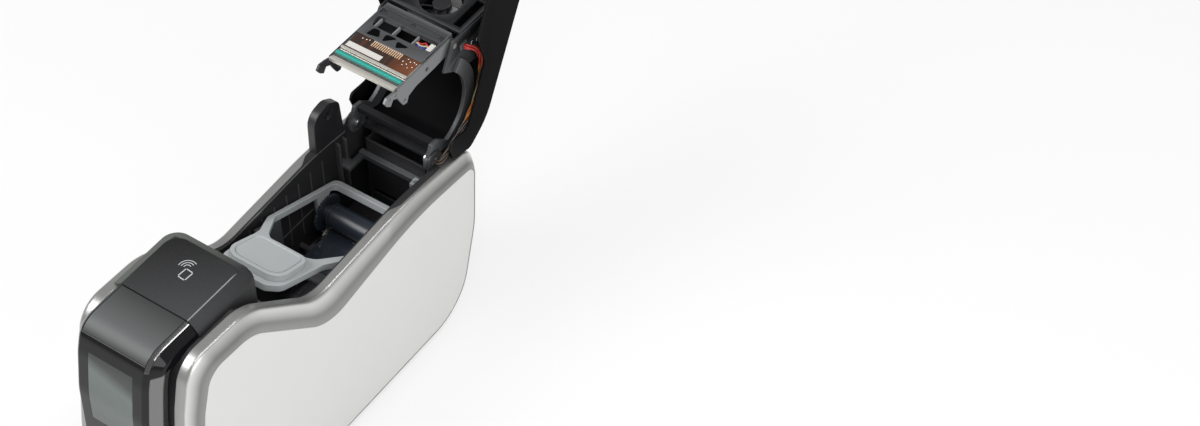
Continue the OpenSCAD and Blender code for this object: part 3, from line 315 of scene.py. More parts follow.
def hood_grain(name, base, sloped_border_sheen, crease):
    """Eroded plastic with a painted shade that darkens it to the rear left and painted light that pales it to the
    front right, a painted sheen on its sloped left and rear border and a painted highlight along the right crease.
    """
    f = Finish(name, Specular_IOR_Level=0.18)
    pits, height = f.pits(0.9, 0.4)
    x, y, z = (f.axis(a) for a in "XYZ")
    # Painted shade to the rear left and painted light to the front right, from 0.15 to 1.9 times the base colour
    tint = f.shades(f.span(x * 0.7 - y, 45, 150), base, 0.15, 1.9)
    # Painted sheen: the sloped left and rear border takes a paler colour
    sloped = f.span(z, 267.4, 267) * f.span(z, 261.7, 262.1)
    outer = (f.span(x, -40.5, -41) + f.span(y, -73.7, -72.9) * f.span(x, 34, -30)).clipped()
    tint = f.mix(sloped * outer, tint, sloped_border_sheen)
    # Painted highlight along the crease at the right shoulder
    crease_highlight = f.near(x, 29.3, 0.2, 0.7) * f.span(z, 266.8, 267.2) * f.span(y, -76, -84)
    tint = f.mix(crease_highlight * 0.8, tint, crease)
    return f.made(Base_Color=f.mix(f.ramp(height, 0.3, 0.9), tint, f.mix(0.04, tint, crease)),
                  Roughness=pits * 0.06 + 0.46, Normal=f.bump(height, 0.12))


def brushed(name, base, rough, stretch=(1, 40, 40), metal=1.0):
    """Bare or plated metal with fine scratches along one axis."""
    f = Finish(name, Metallic=metal)
    lines = f.noise(4, 4.0, 0.6, stretch)
    patches = f.noise(20)
    return f.made(Base_Color=f.shades(lines, base, 0.85, 1.1),
                  Roughness=lines * 0.12 + patches * 0.06 + (rough - 0.08), Normal=f.bump(lines, 0.02))


def polished(name, base, rough, coat):
    """Polished plastic with faint waviness and a few dull specks."""
    f = Finish(name, Coat_Weight=coat, Coat_Roughness=0.03)
    waves = f.noise(30, 1.0)
    specks = f.ramp(f.noise(1.6, 3.0), 0.66, 0.74)
    return f.made(Base_Color=f.shades(waves, base, 0.9, 1.15), Roughness=waves * 0.02 + specks * 0.1 + rough,
                  Normal=f.bump(waves, 0.03))


def front_gloss(name, base, top, bevel, seam_highlight):
    """Polished black front whose upper face, between its shoulders, is satin, with a painted sheen that pales it
    towards the front bend, a painted highlight on the right shoulder and along the seam line, and a painted
    reflection on the lower flanks.
    """
    f = Finish(name, Coat_Roughness=0.03, Specular_IOR_Level=0.25)
    x, y, z = (f.axis(a) for a in "XYZ")
    side = f.span(x, FACE_SIDE + 0.2, FACE_SIDE - 0.2)
    face = f.span(z, 260.2, 260.6) * side * f.span(x, -39.8, -39.4)
    # Painted highlight along the seam line under the satin face
    line = f.near(z, 259.8, 0.1, 0.4) * side
    # Painted highlight of the right shoulder, drawn as a paler metallic strip
    shoulder_highlight = f.span(x, 28.2, 28.4) * f.span(x, 32.2, 32) * f.span(z, 254.5, 256)
    # Painted reflection on the lower flanks of both sides, drawn as a paler metallic band
    flank_reflection = f.span(abs(x + 3.6 * MM), 36.6, 37.2) * f.span(z, 250.2, 248.8)
    # Painted sheen that pales the satin face towards the front bend
    front_bend_sheen = f.span(y, -139, -178) * (1.0 - f.span(z, 266.5, 260.2) * 0.8)
    fine = f.noise(0.5)
    waves = f.noise(30, 1.0)
    shell = f.mix(face, base, f.mix(front_bend_sheen, top, shade(top, 2.9)))
    # Shoulder and flanks take the bevel colour, a painted highlight and a painted reflection
    shell = f.mix((shoulder_highlight + flank_reflection).clipped(), shell, bevel)
    return f.made(Base_Color=f.mix(line, shell, seam_highlight), Coat_Weight=0.1 - face * 0.1,
                  Metallic=(shoulder_highlight + flank_reflection * 0.8).clipped(),
                  Roughness=face * (fine * 0.08 + 0.3) + waves * 0.02 + 0.06,
                  Normal=f.bump(fine * face, 0.02))


def lit_screen(name, base):
    """Unlit display with a painted slanted sheen that fades downwards, and a painted shadow under the top edge of
    its window.
    """
    f = Finish(name, Coat_Weight=0.2, Coat_Roughness=0.04)
    slant = f.axis("Z") + f.axis("X") * 0.25
    # Painted shadow under the window's top edge, darkening the screen to about a sixth of its colour
    top = f.span(slant, 236, 222)
    haze = f.noise(12)
    # Painted sheen, brightest just below the shadow and halving towards the bottom
    sheen = f.mix(f.span(slant, 160, 226), shade(base, 0.5), base)
    return f.made(Base_Color=f.mix(top * (haze * 0.2 + 0.8), shade(base, 0.16), sheen),
                  Roughness=haze * 0.05 + 0.12)


def rubbery(name, base, rough=0.7):
    """Rubber with a fine ground surface and a little dust."""
    f = Finish(name)
    fine = f.noise(0.5, 3.0)
    dust = f.ramp(f.noise(12, 3.0), 0.5, 0.8)
    return f.made(Base_Color=f.mix(dust, base, shade(base, 1.6)), Roughness=fine * 0.12 + rough,
                  Normal=f.bump(fine, 0.06))


def silver_paint(name, base):
    """Satin metallic paint with fine flakes, a painted highlight along the ridge and a painted shade towards the
    panel.
    """
    f = Finish(name, Metallic=0.75, Coat_Weight=0.25, Coat_Roughness=0.2)
    flakes = f.noise(0.35, 1.0)
    patches = f.noise(60)
    across = abs(f.axis("X"))
    # Painted highlight along the ridge and upper band, painted shade across the lower band
    lit = f.span(across, RIDGE_X - 0.6, RIDGE_X + 0.4) * f.span(across, RIDGE_X + 6, RIDGE_X + 1)
    painted_shade = f.span(across, RIDGE_X + 2, RIDGE_X + 5.5) * f.span(across, HALF_WIDTH + 2, RIDGE_X + 5.5)
    tint = f.mix(lit, f.mix(painted_shade, base, shade(base, 0.6)), shade(base, 1.9))
    return f.made(Base_Color=f.mix(flakes, f.mix(0.12, tint, (0.0, 0.0, 0.0)), tint),
                  Roughness=flakes * 0.06 + patches * 0.05 + 0.3, Normal=f.bump(flakes, 0.008))


def heating_strip(name, glaze, line):
    """Glazed ceramic with a paler row of heating dots along it."""
    f = Finish(name, Coat_Weight=0.8, Coat_Roughness=0.04)
    across = abs(f.axis("Y") - STRIP_Y * MM)
    ridge = 1.0 - f.span(across, 0.3, 0.9)
    dots = f.node("ShaderNodeTexWave", {"bands_direction": "X"}, out=1, Vector=f.place(), Scale=300.0)
    body = f.mix((ridge * (dots * 0.4 + 0.6)).clipped(), glaze, line)
    return f.made(Base_Color=f.mix(f.span(across, 2.3, 2.5), body, shade(glaze, 0.2)),
                  Roughness=ridge * 0.15 + 0.12, Normal=f.bump(ridge, 0.12))


def circuit(name, board, copper, pitch=2.2, stretch=(1.0, 0.12, 1.0)):
    """Lacquered board over slightly raised copper runs."""
    f = Finish(name, Coat_Weight=0.5, Coat_Roughness=0.1)
    where = f.node("ShaderNodeMapping", Vector=f.place(), Scale=stretch)
    cells = f.node("ShaderNodeTexBrick", {"offset": 0.5}, out=1, Vector=where, Scale=1.0 / (pitch * MM),
                   Mortar_Size=0.16)
    runs = (cells * f.ramp(f.noise(pitch * 1.6, 2.0, 0.4, stretch), 0.5, 0.56)).clipped()
    bare = f.span(f.axis("X"), 12, 30)
    return f.made(Base_Color=f.mix(runs, f.shades(bare, board, 0.22, 1.25), f.mix(bare, board, copper)),
                  Metallic=runs * 0.4, Roughness=0.3 - runs * 0.1, Normal=f.bump(runs, 0.05))


def wound_film(name, base, crease):
    """Thin glossy ribbon with pale creases where it has been slack."""
    f = Finish(name, Coat_Weight=0.5, Coat_Roughness=0.08)
    warp = f.noise(30, 3.0, 0.6)
    folds = f.noise(12, 5.0, 0.65, (1.4, 0.7, 1.0))
    thin = (1.0 - f.ramp(abs(folds - 0.5), 0.004, 0.022)) * f.ramp(warp, 0.5, 0.68)
    return f.made(Base_Color=f.mix((thin * 0.75).clipped(), f.shades(warp, base, 0.8, 1.25), crease),
                  Roughness=warp * 0.1 + thin * 0.2 + 0.2, Normal=f.bump(folds, 0.6))


def wire(name, top, middle, low=(0.035, 0.022, 0.014)):
    """Insulation whose colour changes where one wire of the bundle passes behind another, with a painted shade
    that darkens the low end near the hinge.
    """
    f = Finish(name)
    fine = f.noise(0.5)
    height = f.axis("Z") + f.noise(8) * (12 * MM)
    # About 22 to 30 mm above the hinge the colour fades into the painted shade colour; above that it changes
    # between the wires' own colours
    tint = f.mix(f.span(height, 222, 230), low, f.mix(f.span(height, 268, 274), middle, top))
    return f.made(Base_Color=tint, Roughness=fine * 0.05 + 0.32, Normal=f.bump(fine, 0.02))


def striped_bar(name, base, joints=()):
    """Bright bars with a dark joint line at some places, (y from the hinge, half width)."""
    f = Finish(name, Metallic=0.6)
    lines = f.noise(20, 1.0, 0.5, (1, 6, 6))
    y = f.axis("Y")
    dark = sum((f.near(y, HINGE_Y + spot, half, half + 0.15) for spot, half in joints), start=lines * 0.0)
    return f.made(Base_Color=f.mix(dark.clipped(), f.shades(lines, base, 0.9, 1.1), (0.01, 0.01, 0.01)),
                  Roughness=lines * 0.1 + 0.25, Normal=f.bump(lines, 0.02))


def mix_finishes(c):
    """Makes every finish; c holds the base colours of the properties."""
    fins = ((-30.9, 0.3), (-27.6, 0.4), (-20.6, 0.5), (-17.8, 0.3))
    FINISH.update({
        "silver": silver_paint("satin_silver_paint", c["silver"]),
        "panel": moulded("side_panel_grey", c["panel"], 0.42, 0.5, 0.02, 0.012),
        # Hood colours after the base: the painted sheen of the sloped border, then the painted highlight of the
        # crease
        "hood": hood_grain("hood_texture", c["hood"], (0.085, 0.092, 0.084), (0.3, 0.3, 0.3)),
        "charcoal": eroded("charcoal_texture", c["charcoal"], 0.52, 1.2, 0.1),
        "inside": moulded("inside_black", c["inside"], 0.36, 0.8, 0.05, 0.2, wear=0.15, gloss=0.4),
        "chassis": moulded("chassis_black", shade(c["inside"], 0.7), 0.5, 0.7, 0.04, 0.15, wear=0.2, gloss=0.12),
        # Front colours after the base: the satin face, the painted highlight and reflection of the shoulder and
        # flanks, the painted highlight of the seam line
        "front": front_gloss("front_gloss_black", c["gloss"], (0.035, 0.037, 0.037), (0.2, 0.2, 0.2),
                             (0.12, 0.12, 0.12)),
        "display": lit_screen("display_glass", (0.12, 0.15, 0.14)),
        "screen": polished("screen_glass", (0.16, 0.19, 0.18), 0.12, 0.2),
        "lid": moulded("lid_satin_black", c["lid"], 0.5, 0.5, 0.02, 0.1, wear=0.3, gloss=0.01),
        "lid_frame": two_tone("lid_frame_grey", shade(c["inside"], 0.8), shade(c["metal"], 0.35), 0.42, 232),
        "arm": moulded("hinge_arm_grey", c["arm"], 0.4, 0.6, 0.05, 0.12, wear=0.4, metal=0.25),
        "frame": moulded("head_frame_grey", c["metal"], 0.4, 0.6, 0.05, 0.12, wear=0.7, metal=0.25),
        "bracket": brushed("bracket_steel", (0.2, 0.205, 0.21), 0.38, metal=0.6),
        # Near-black painted shade on the floors of the print head's pockets
        "pocket_shade": moulded("deep_hole", (0.004, 0.004, 0.004), 0.8, 0.5, 0.02, 0.1, gloss=0.0),
        "bright": striped_bar("bright_steel", (0.6, 0.58, 0.53)),
        "fins": striped_bar("anodised_fins", (0.5, 0.48, 0.44), fins),
        "strip": heating_strip("glazed_strip", c["strip"], shade(c["strip"], 1.8)),
        "board": circuit("amber_board", c["board"], shade(c["board"], 2.2)),
        "green_board": circuit("green_board", (0.01, 0.07, 0.03), (0.05, 0.2, 0.08), 3, (1, 1, 1)),
        "label": moulded("blank_label", (0.56, 0.54, 0.51), 0.5, 0.4, 0.01, 0.03),
        "copper": brushed("gilt_fingers", (0.9, 0.62, 0.4), 0.35, metal=0.3),
        "solder": brushed("solder", (0.8, 0.8, 0.78), 0.25, (1, 1, 1)),
        "steel": brushed("bare_steel", (0.62, 0.63, 0.64), 0.3),
        "zinc": brushed("plated_steel", (0.42, 0.44, 0.46), 0.34, metal=0.85),
        "brass": brushed("pinion_brass", (0.7, 0.52, 0.24), 0.25),
        "cartridge": moulded("cartridge_grey", c["cartridge"], 0.38, 0.5, 0.03, 0.04, wear=0.15),
        "shroud": moulded("shroud_dark", (0.035, 0.038, 0.042), 0.4, 0.6, 0.04, 0.12, wear=0.2),
        "film": wound_film("ribbon_film_dark", c["film"], (0.45, 0.5, 0.52)),
        "roll": moulded("ribbon_roll", c["film"], 0.3, 0.5, 0.01, 0.15),
        "rubber": rubbery("roller_rubber", (0.018, 0.018, 0.019)),
        "feet": rubbery("foot_rubber", (0.01, 0.01, 0.01), 0.8),
        "clean": rubbery("cleaning_rubber", (0.22, 0.07, 0.035), 0.5),
        "acetal": moulded("natural_acetal", (0.62, 0.62, 0.57), 0.35, 0.6, 0.02, 0.05),
        "switch": moulded("switch_grey", (0.22, 0.235, 0.24), 0.4, 0.5, 0.02, 0.05),
        "icon": moulded("icon_grey", (0.42, 0.43, 0.44), 0.5, 0.4, 0.01, 0.05),
        "red": moulded("wire_red", (0.42, 0.02, 0.015), 0.35, 0.5, 0.02),
        "blue": moulded("wire_blue", (0.02, 0.05, 0.3), 0.35, 0.5, 0.02),
        "beige": moulded("wire_beige", (0.5, 0.42, 0.3), 0.4, 0.5, 0.02),
        # The third colour of each wire, or the default, is the painted shade near the hinge
        "wire_a": wire("wire_a", (0.42, 0.02, 0.015), (0.5, 0.16, 0.03)),
        "wire_b": wire("wire_b", (0.5, 0.03, 0.02), (0.42, 0.3, 0.16), (0.08, 0.06, 0.045)),
        "wire_c": wire("wire_c", (0.3, 0.015, 0.012), (0.55, 0.2, 0.04)),
        "wire_d": wire("wire_d", (0.45, 0.12, 0.05), (0.1, 0.05, 0.03), (0.06, 0.05, 0.045)),
    })


# ---------------------------------------------------------------- outlines and meshes


def unit(y, z):
    d = math.hypot(y, z)
    return y / d, z / d


def disc(cy, cz, r, count):
    """Outline of a circle."""
    return [(cy + r * math.cos(a * math.pi / (count / 2)), cz + r * math.sin(a * math.pi / (count / 2)))
            for a in range(count)]


def rounded_outline(corners, steps):
    """Closed outline whose corners (y, z, radius) are rounded, with steps + 1 points on each."""
    points = []
    for i, (y, z, r) in enumerate(corners):
        if r <= 0:
            points.append((y, z))
            continue
        before, after = corners[i - 1], corners[(i + 1) % len(corners)]
        u, v = unit(before[0] - y, before[1] - z), unit(after[0] - y, after[1] - z)
        half = math.acos(u[0] * v[0] + u[1] * v[1]) / 2
        reach = r / math.tan(half)
        m = unit(u[0] + v[0], u[1] + v[1])
        cy, cz = y + m[0] * r / math.sin(half), z + m[1] * r / math.sin(half)
        a = math.atan2(z + u[1] * reach - cz, y + u[0] * reach - cy)
        b = math.atan2(z + v[1] * reach - cz, y + v[0] * reach - cy)
        turn = (b - a + 3 * math.pi) % (2 * math.pi) - math.pi
        points += [(cy + r * math.cos(a + turn * k / steps), cz + r * math.sin(a + turn * k / steps))
                   for k in range(steps + 1)]
    return points


def inset(points, d):
    """Moves a clockwise outline inwards by d."""
    moved = []
    for i, (y, z) in enumerate(points):
        before, after = points[i - 1], points[(i + 1) % len(points)]
        u, v = unit(y - before[0], z - before[1]), unit(after[0] - y, after[1] - z)
        m = unit(u[1] + v[1], -u[0] - v[0])
        k = d / (m[0] * v[1] - m[1] * v[0])
        moved.append((y + m[0] * k, z + m[1] * k))
    return moved


def loft(rings):
    """Skins rings of equal count, given in mm, and closes the two ends."""
    bm = bmesh.new()
    rows = [[bm.verts.new(Vector(p) * MM) for p in ring] for ring in rings]
    for low, high in zip(rows, rows[1:]):
        n = len(low)
        for i in range(n):
            bm.faces.new((low[i], low[(i + 1) % n], high[(i + 1) % n], high[i]))
    bm.faces.new(rows[0][::-1])
    bm.faces.new(rows[-1])
    return bm


def plate(outline, axis, low, high):
    """A plate between two planes across axis 0, 1 or 2, from its outline along the other two."""
    return loft([[(*p[:axis], at, *p[axis:]) for p in outline] for at in (low, high)])


def box(x0, x1, y0, y1, z0, z1):
    return plate([(x0, y0), (x1, y0), (x1, y1), (x0, y1)], 2, z0, z1)


def outward(bm):
    bmesh.ops.recalc_face_normals(bm, faces=bm.faces)
    return bm


def link(name, data):
    """A new object for a mesh, lamp or camera."""
    item = bpy.data.objects.new(name, data)
    bpy.context.scene.collection.objects.link(item)
    return item


def as_mesh(name, bm):
    """Turns a bmesh into a mesh and frees it."""
    mesh = bpy.data.meshes.new(name)
    bm.to_mesh(mesh)
    bm.free()
    return mesh


def settle(piece):
    """Applies the modifiers of a piece."""
    bpy.context.view_layer.update()
    graph = bpy.context.evaluated_depsgraph_get()
    mesh = bpy.data.meshes.new_from_object(piece.evaluated_get(graph), depsgraph=graph)
    piece.modifiers.clear()
    piece.data = mesh
    mesh.name = piece.name


def taken(piece, *others):
    """Settles a piece and gives back its mesh as a bmesh; the objects are removed."""
    settle(piece)
    bm = bmesh.new()
    bm.from_mesh(piece.data)
    name = piece.name
    for item in (piece, *others):
        bpy.data.objects.remove(item)
    if not bm.faces:
        raise RuntimeError(f"{name} came out empty")
    return bm


def cut(bm, tool, operation="DIFFERENCE"):
    """Gives back one closed mesh less another, or their common part."""
    whole, blade = (link("part", as_mesh("part", outward(part))) for part in (bm, tool))
    knife = whole.modifiers.new("Cut", "BOOLEAN")
    knife.operation = operation
    knife.solver = "EXACT"
    knife.object = blade
    return taken(whole, blade)


def sweep(path, section):
    """Skins a section of (x, depth) pairs along a path (y, z), with depth measured inwards."""
    rings = []
    for i, (y, z) in enumerate(path):
        a, b = path[max(i - 1, 0)], path[min(i + 1, len(path) - 1)]
        d = unit(b[0] - a[0], b[1] - a[1])
        rings.append([(x, y - d[1] * depth, z + d[0] * depth) for x, depth in section])
    return loft(rings)


def smooth_path(knots, steps):
    """Points on a smooth curve through the knots."""
    out = []
    for i in range(len(knots) - 1):
        q = [Vector(knots[max(min(k, len(knots) - 1), 0)]) for k in (i - 1, i, i + 1, i + 2)]
        for k in range(steps):
            t = k / steps
            out.append(0.5 * (2 * q[1] + (q[2] - q[0]) * t + (2 * q[0] - 5 * q[1] + 4 * q[2] - q[3]) * t * t
                              + (3 * q[1] - q[0] - 3 * q[2] + q[3]) * t ** 3))
    out.append(Vector(knots[-1]))
    return out


def chamfer(bm, width, segments=2):
    """Rounds every sharp edge that is not much shorter than the rounding."""
    edges = [e for e in bm.edges if e.is_manifold and abs(e.calc_face_angle(0.0)) > math.radians(SHARP)
             and e.calc_length() > 0.3 * width * MM]
    if edges:
        bmesh.ops.bevel(bm, geom=edges, offset=width * MM, segments=segments, profile=0.5, affect="EDGES",
                        clamp_overlap=False)
    return bm


def shown(name, bm, finishes, body, nodes=(), least=40.0, weighted=True):
    """Turns a bmesh into a finished piece that rides on a body and stands for the given nodes."""
    bmesh.ops.remove_doubles(bm, verts=bm.verts, dist=1e-7)
    bmesh.ops.dissolve_degenerate(bm, edges=bm.edges, dist=1e-7)
    for face in bm.faces:
        face.smooth = True
    for edge in bm.edges:
        edge.smooth = not edge.is_manifold or abs(edge.calc_face_angle(0.0)) < math.radians(least)
    piece = link(name, as_mesh(name, bm))
    for finish in finishes:
        piece.data.materials.append(FINISH[finish])
    if weighted:
        piece.modifiers.new("Normals", "WEIGHTED_NORMAL").keep_sharp = True
        settle(piece)
    if not piece.data.polygons:
        raise RuntimeError(f"{name} came out empty")
    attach(piece, body)
    if nodes:
        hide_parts(*nodes)


def softened(node, finish, body, slot, width, segments=2, name=None):
    """Stands for a frame node with the same shape, its flat faces joined and its edges rounded."""
    bm = bmesh.new()
    bm.from_mesh(NODES[node].data)
    bmesh.ops.remove_doubles(bm, verts=bm.verts, dist=2e-6)
    bmesh.ops.dissolve_degenerate(bm, edges=bm.edges, dist=2e-6)
    bmesh.ops.dissolve_limit(bm, angle_limit=math.radians(0.6), verts=bm.verts, edges=bm.edges)
    for face in bm.faces:
        face.material_index = 0
    shown(name or node + "_edges", chamfer(bm, width, segments), [finish], body, [node])


def finish_node(node, *finishes):
    """Gives a frame node that is right as it stands its finish."""
    for i, place in enumerate(NODES[node].material_slots):
        place.material = FINISH[finishes[min(i, len(finishes) - 1)]]


# ---------------------------------------------------------------- repeated parts


class Growth(Net):
    """A Geometry Nodes tree with named inputs."""

    def __init__(self, name, **inputs):
        super().__init__(bpy.data.node_groups.new(name, "GeometryNodeTree"))
        face = self.tree.interface
        face.new_socket("Geometry", in_out="OUTPUT", socket_type="NodeSocketGeometry")
        for label, kind in {"Geometry": "Geometry", **inputs, "Material": "Material"}.items():
            face.new_socket(label, in_out="INPUT", socket_type="NodeSocket" + kind)
        self.entry = self.tree.nodes.new("NodeGroupInput")
        self.exit = self.tree.nodes.new("NodeGroupOutput")

    def given(self, label):
        return Value(self, self.entry.outputs[label])

    def on_points(self, points, part, **sockets):
        """Puts a part on every point and ends the tree."""
        return self.ends_with(self.node("GeometryNodeInstanceOnPoints", Points=points, Instance=part, **sockets))

    def ends_with(self, geometry):
        whole = self.node("GeometryNodeRealizeInstances", Geometry=geometry)
        whole = self.node("GeometryNodeSetMaterial", Geometry=whole, Material=self.given("Material"))
        self.tree.links.new(whole.socket, self.exit.inputs[0])
        return self.tree


def bar_row_tree():
    """A straight row of equal bars, from a start by a step."""
    g = Growth("bar_row", Start="Vector", Step="Vector", Count="Int", Size="Vector")
    line = g.node("GeometryNodeMeshLine", Count=g.given("Count"), Start_Location=g.given("Start"),
                  Offset=g.given("Step"))
    return g.on_points(line, g.node("GeometryNodeMeshCube", Size=g.given("Size")))


def screw_tree():
    """Domed screw heads with a cross recess on the points of a mesh, all facing one way."""
    g = Growth("screws", Radius="Float", Turn="Vector")
    radius = g.given("Radius")
    head = g.node("GeometryNodeMeshUVSphere", Segments=20, Rings=10, Radius=radius)
    flat = g.node("GeometryNodeTransform", Geometry=head, Scale=(1.0, 1.0, 0.45))
    wing = g.node("ShaderNodeCombineXYZ", X=radius * 1.15, Y=radius * 0.26, Z=radius * 0.5)
    rise = g.node("ShaderNodeCombineXYZ", X=0.0, Y=0.0, Z=radius * 0.45)
    wings = g.tree.nodes.new("GeometryNodeJoinGeometry")
    for turn in (0.0, math.pi / 2):
        bar = g.node("GeometryNodeMeshCube", Size=wing)
        bar = g.node("GeometryNodeTransform", Geometry=bar, Translation=rise, Rotation=(0.0, 0.0, turn))
        g.tree.links.new(bar.socket, wings.inputs[0])
    recess = g.tree.nodes.new("GeometryNodeMeshBoolean")
    recess.operation = "DIFFERENCE"
    g.tree.links.new(flat.socket, recess.inputs[0])
    g.tree.links.new(wings.outputs[0], recess.inputs[1])
    return g.on_points(g.given("Geometry"), Value(g, recess.outputs[0]), Rotation=g.given("Turn"))


def bead_tree():
    """Flattened beads of solder on the points of a mesh."""
    g = Growth("beads", Radius="Float")
    bead = g.node("GeometryNodeMeshIcoSphere", Radius=g.given("Radius"), Subdivisions=2)
    bead = g.node("GeometryNodeTransform", Geometry=bead, Scale=(1.0, 1.0, 0.6))
    return g.on_points(g.given("Geometry"), bead)


def wire_tree():
    """Round wire along a path of mesh edges."""
    g = Growth("wires", Radius="Float")
    path = g.node("GeometryNodeMeshToCurve", Mesh=g.given("Geometry"))
    ring = g.node("GeometryNodeCurvePrimitiveCircle", Resolution=12, Radius=g.given("Radius"))
    return g.ends_with(g.node("GeometryNodeCurveToMesh", Curve=path, Profile_Curve=ring, Fill_Caps=True))


GROWTHS = {"bar_row": bar_row_tree, "screws": screw_tree, "beads": bead_tree, "wires": wire_tree}


def grown(kind, points, finish, edges=(), **values):
    """Grows a tree on points in mm and gives back its plain mesh as a bmesh."""
    tree = bpy.data.node_groups.get(kind) or GROWTHS[kind]()
    mesh = bpy.data.meshes.new("grown_" + kind)
    mesh.from_pydata([Vector(p) * MM for p in points], edges, [])
    carrier = link("grown_" + kind, mesh)
    growth = carrier.modifiers.new("Growth", "NODES")
    growth.node_group = tree
    values["Material"] = FINISH[finish]
    for item in tree.interface.items_tree:
        if item.in_out == "INPUT" and item.name in values:
            growth[item.identifier] = values[item.name]
    return taken(carrier)


def add(whole, part, index):
    """Adds a part to a whole; its faces take a material index."""
    for face in part.faces:
        face.material_index = index
    mesh = as_mesh("part", part)
    whole.from_mesh(mesh)
    bpy.data.meshes.remove(mesh)


def mixed(*parts):
    """Joins bmeshes; each part's faces take the next material index."""
    whole = bmesh.new()
    for i, part in enumerate(parts):
        add(whole, part, i)
    return whole


def bars(start, step, count, size, finish, round_by=0.0):
    """A row of bars, with their edges rounded where that is asked for."""
    row = grown("bar_row", [(0, 0, 0)], finish, Start=Vector(start) * MM, Step=Vector(step) * MM, Count=count,
                Size=Vector(size) * MM)
    return chamfer(row, round_by, 1) if round_by else row


# ---------------------------------------------------------------- pieces


SIDES = (("left", -1), ("right", 1))
CAMERA_LENS = 72.96
CAMERA_PLACE = (1.0097, -0.9907, 1.7774)
CAMERA_AIM = (-0.378, 0.557, -0.740)
LAMP_TARGET = Vector((0.0, 0.0, 0.2))
# Name, size, place and turn; a lamp without a turn is aimed at the target
LAMPS = (("key", (1.1, 1.1), (-0.9, -0.9, 1.7), None),
         ("fill", (1.2, 1.2), (1.6, -0.5, 1.0), None),
         ("strip", (0.3, 2.2), (0.64, 0.05, 2.0), (0.0, 0.0, 0.1)))


class DressOperator:
    """What every operator of the dressing shares"""

    bl_options = {"REGISTER", "UNDO"}

    def execute(self, context):
        self.build(context.scene)
        return {"FINISHED"}


class CARDPRINTER_OT_stage(DressOperator, bpy.types.Operator):
    """Floor, soft lamps, surrounding light and the camera"""

    bl_idname = "card_printer.stage"
    bl_label = "Stage and camera"

    def build(self, scene):
        scene.view_settings.view_transform = "Standard"
        camera = bpy.data.cameras.new("camera")
        camera.lens = CAMERA_LENS
        camera.sensor_fit = "HORIZONTAL"
        camera.sensor_width = 36.0
        camera.clip_end = 50.0
        eye = link("camera", camera)
        eye.location = CAMERA_PLACE
        eye.rotation_euler = Vector(CAMERA_AIM).to_track_quat("-Z", "Y").to_euler()
        scene.camera = eye
        for name, size, place, turn in LAMPS:
            lamp = bpy.data.lights.new(name, "AREA")
            lamp.shape = "RECTANGLE"
            lamp.energy = getattr(scene.printer_light, name)
            lamp.size, lamp.size_y = size
            stand = link(name, lamp)
            stand.location = place
            stand.rotation_euler = turn or (LAMP_TARGET - Vector(place)).to_track_quat("-Z", "Y").to_euler()
        world = bpy.data.worlds.new("surroundings")
        scene.world = world
        world.use_nodes = True
        background = world.node_tree.nodes["Background"].inputs
        background["Color"].default_value = (1.0, 1.0, 1.0, 1.0)
        background["Strength"].default_value = scene.printer_light.sky
        bm = bmesh.new()
        bmesh.ops.create_grid(bm, x_segments=4, y_segments=4, size=6.0)
        ground = link("floor", as_mesh("floor", bm))
        ground.data.materials.append(self.floor_finish())

    def floor_finish(self):
        """Pale floor that glows a little for the camera and in reflections, and keeps shadows"""
        f = Finish("studio_floor", Roughness=0.9, Specular_IOR_Level=0.1)
        f.made(Base_Color=f.mix(f.noise(400), (0.8, 0.8, 0.8), (0.82, 0.82, 0.82)))
        glow = f.node("ShaderNodeEmission", Color=(1.0, 1.0, 1.0), Strength=1.0)
        rays = f.tree.nodes.new("ShaderNodeLightPath").outputs
        seen = sum((Value(f, rays[f"Is {kind} Ray"]) for kind in ("Glossy", "Transmission")),
                   start=Value(f, rays["Is Camera Ray"]))
        blend = f.tree.nodes.new("ShaderNodeMixShader")
        f.feed(blend.inputs[0], seen.clipped() * 0.7)
        f.tree.links.new(f.main.outputs[0], blend.inputs[1])
        f.tree.links.new(glow.socket, blend.inputs[2])
        f.tree.links.new(blend.outputs[0], f.out.inputs[0])
        return f.material


# Outer edge of the rim's ridge and inner edge of the band, seen from the side: y, z and radius of the corner
RIDGE = [(FRONT_Y + 8, FOOT_H, 14), (FRONT_Y - 1, FOOT_H + 106, 150), (FRONT_Y + 18, FRONT_H - 45, 60),
         (FRONT_Y + 31, FRONT_H + 2, 28), (FRONT_Y + 107, FRONT_H - 1, 55), (FRONT_Y + 186, BAY_H - 5, 46),
         (REAR_Y - 92, BAY_H + 3, 300), (REAR_Y + 1, BAY_H - 8, 12), (REAR_Y - 4, BAY_H - 93, 120),
         (REAR_Y - 32, FOOT_H, 60)]
BAND = [(FRONT_Y + 16, FOOT_H + 8, 12), (FRONT_Y + 14, FOOT_H + 108, 150), (FRONT_Y + 32, FRONT_H - 54, 50),
        (FRONT_Y + 46, FRONT_H + 3 - BAND_H, 22), (FRONT_Y + 100, FRONT_H - BAND_H, 45),
        (FRONT_Y + 189, BAY_H - 16 - BAND_H, 50), (REAR_Y - 94, BAY_H + 6 - BAND_H, 300),
        (REAR_Y - 5, BAY_H - 2 - BAND_H, 12), (REAR_Y - 10, BAY_H - 93, 118), (REAR_Y - 37, FOOT_H + 8, 54)]
RIDGE_TURN = 1.9                # how far the ridge's rounding reaches into the band
BAND_BULGE = 0.05
PANEL_SEAM = 1.15


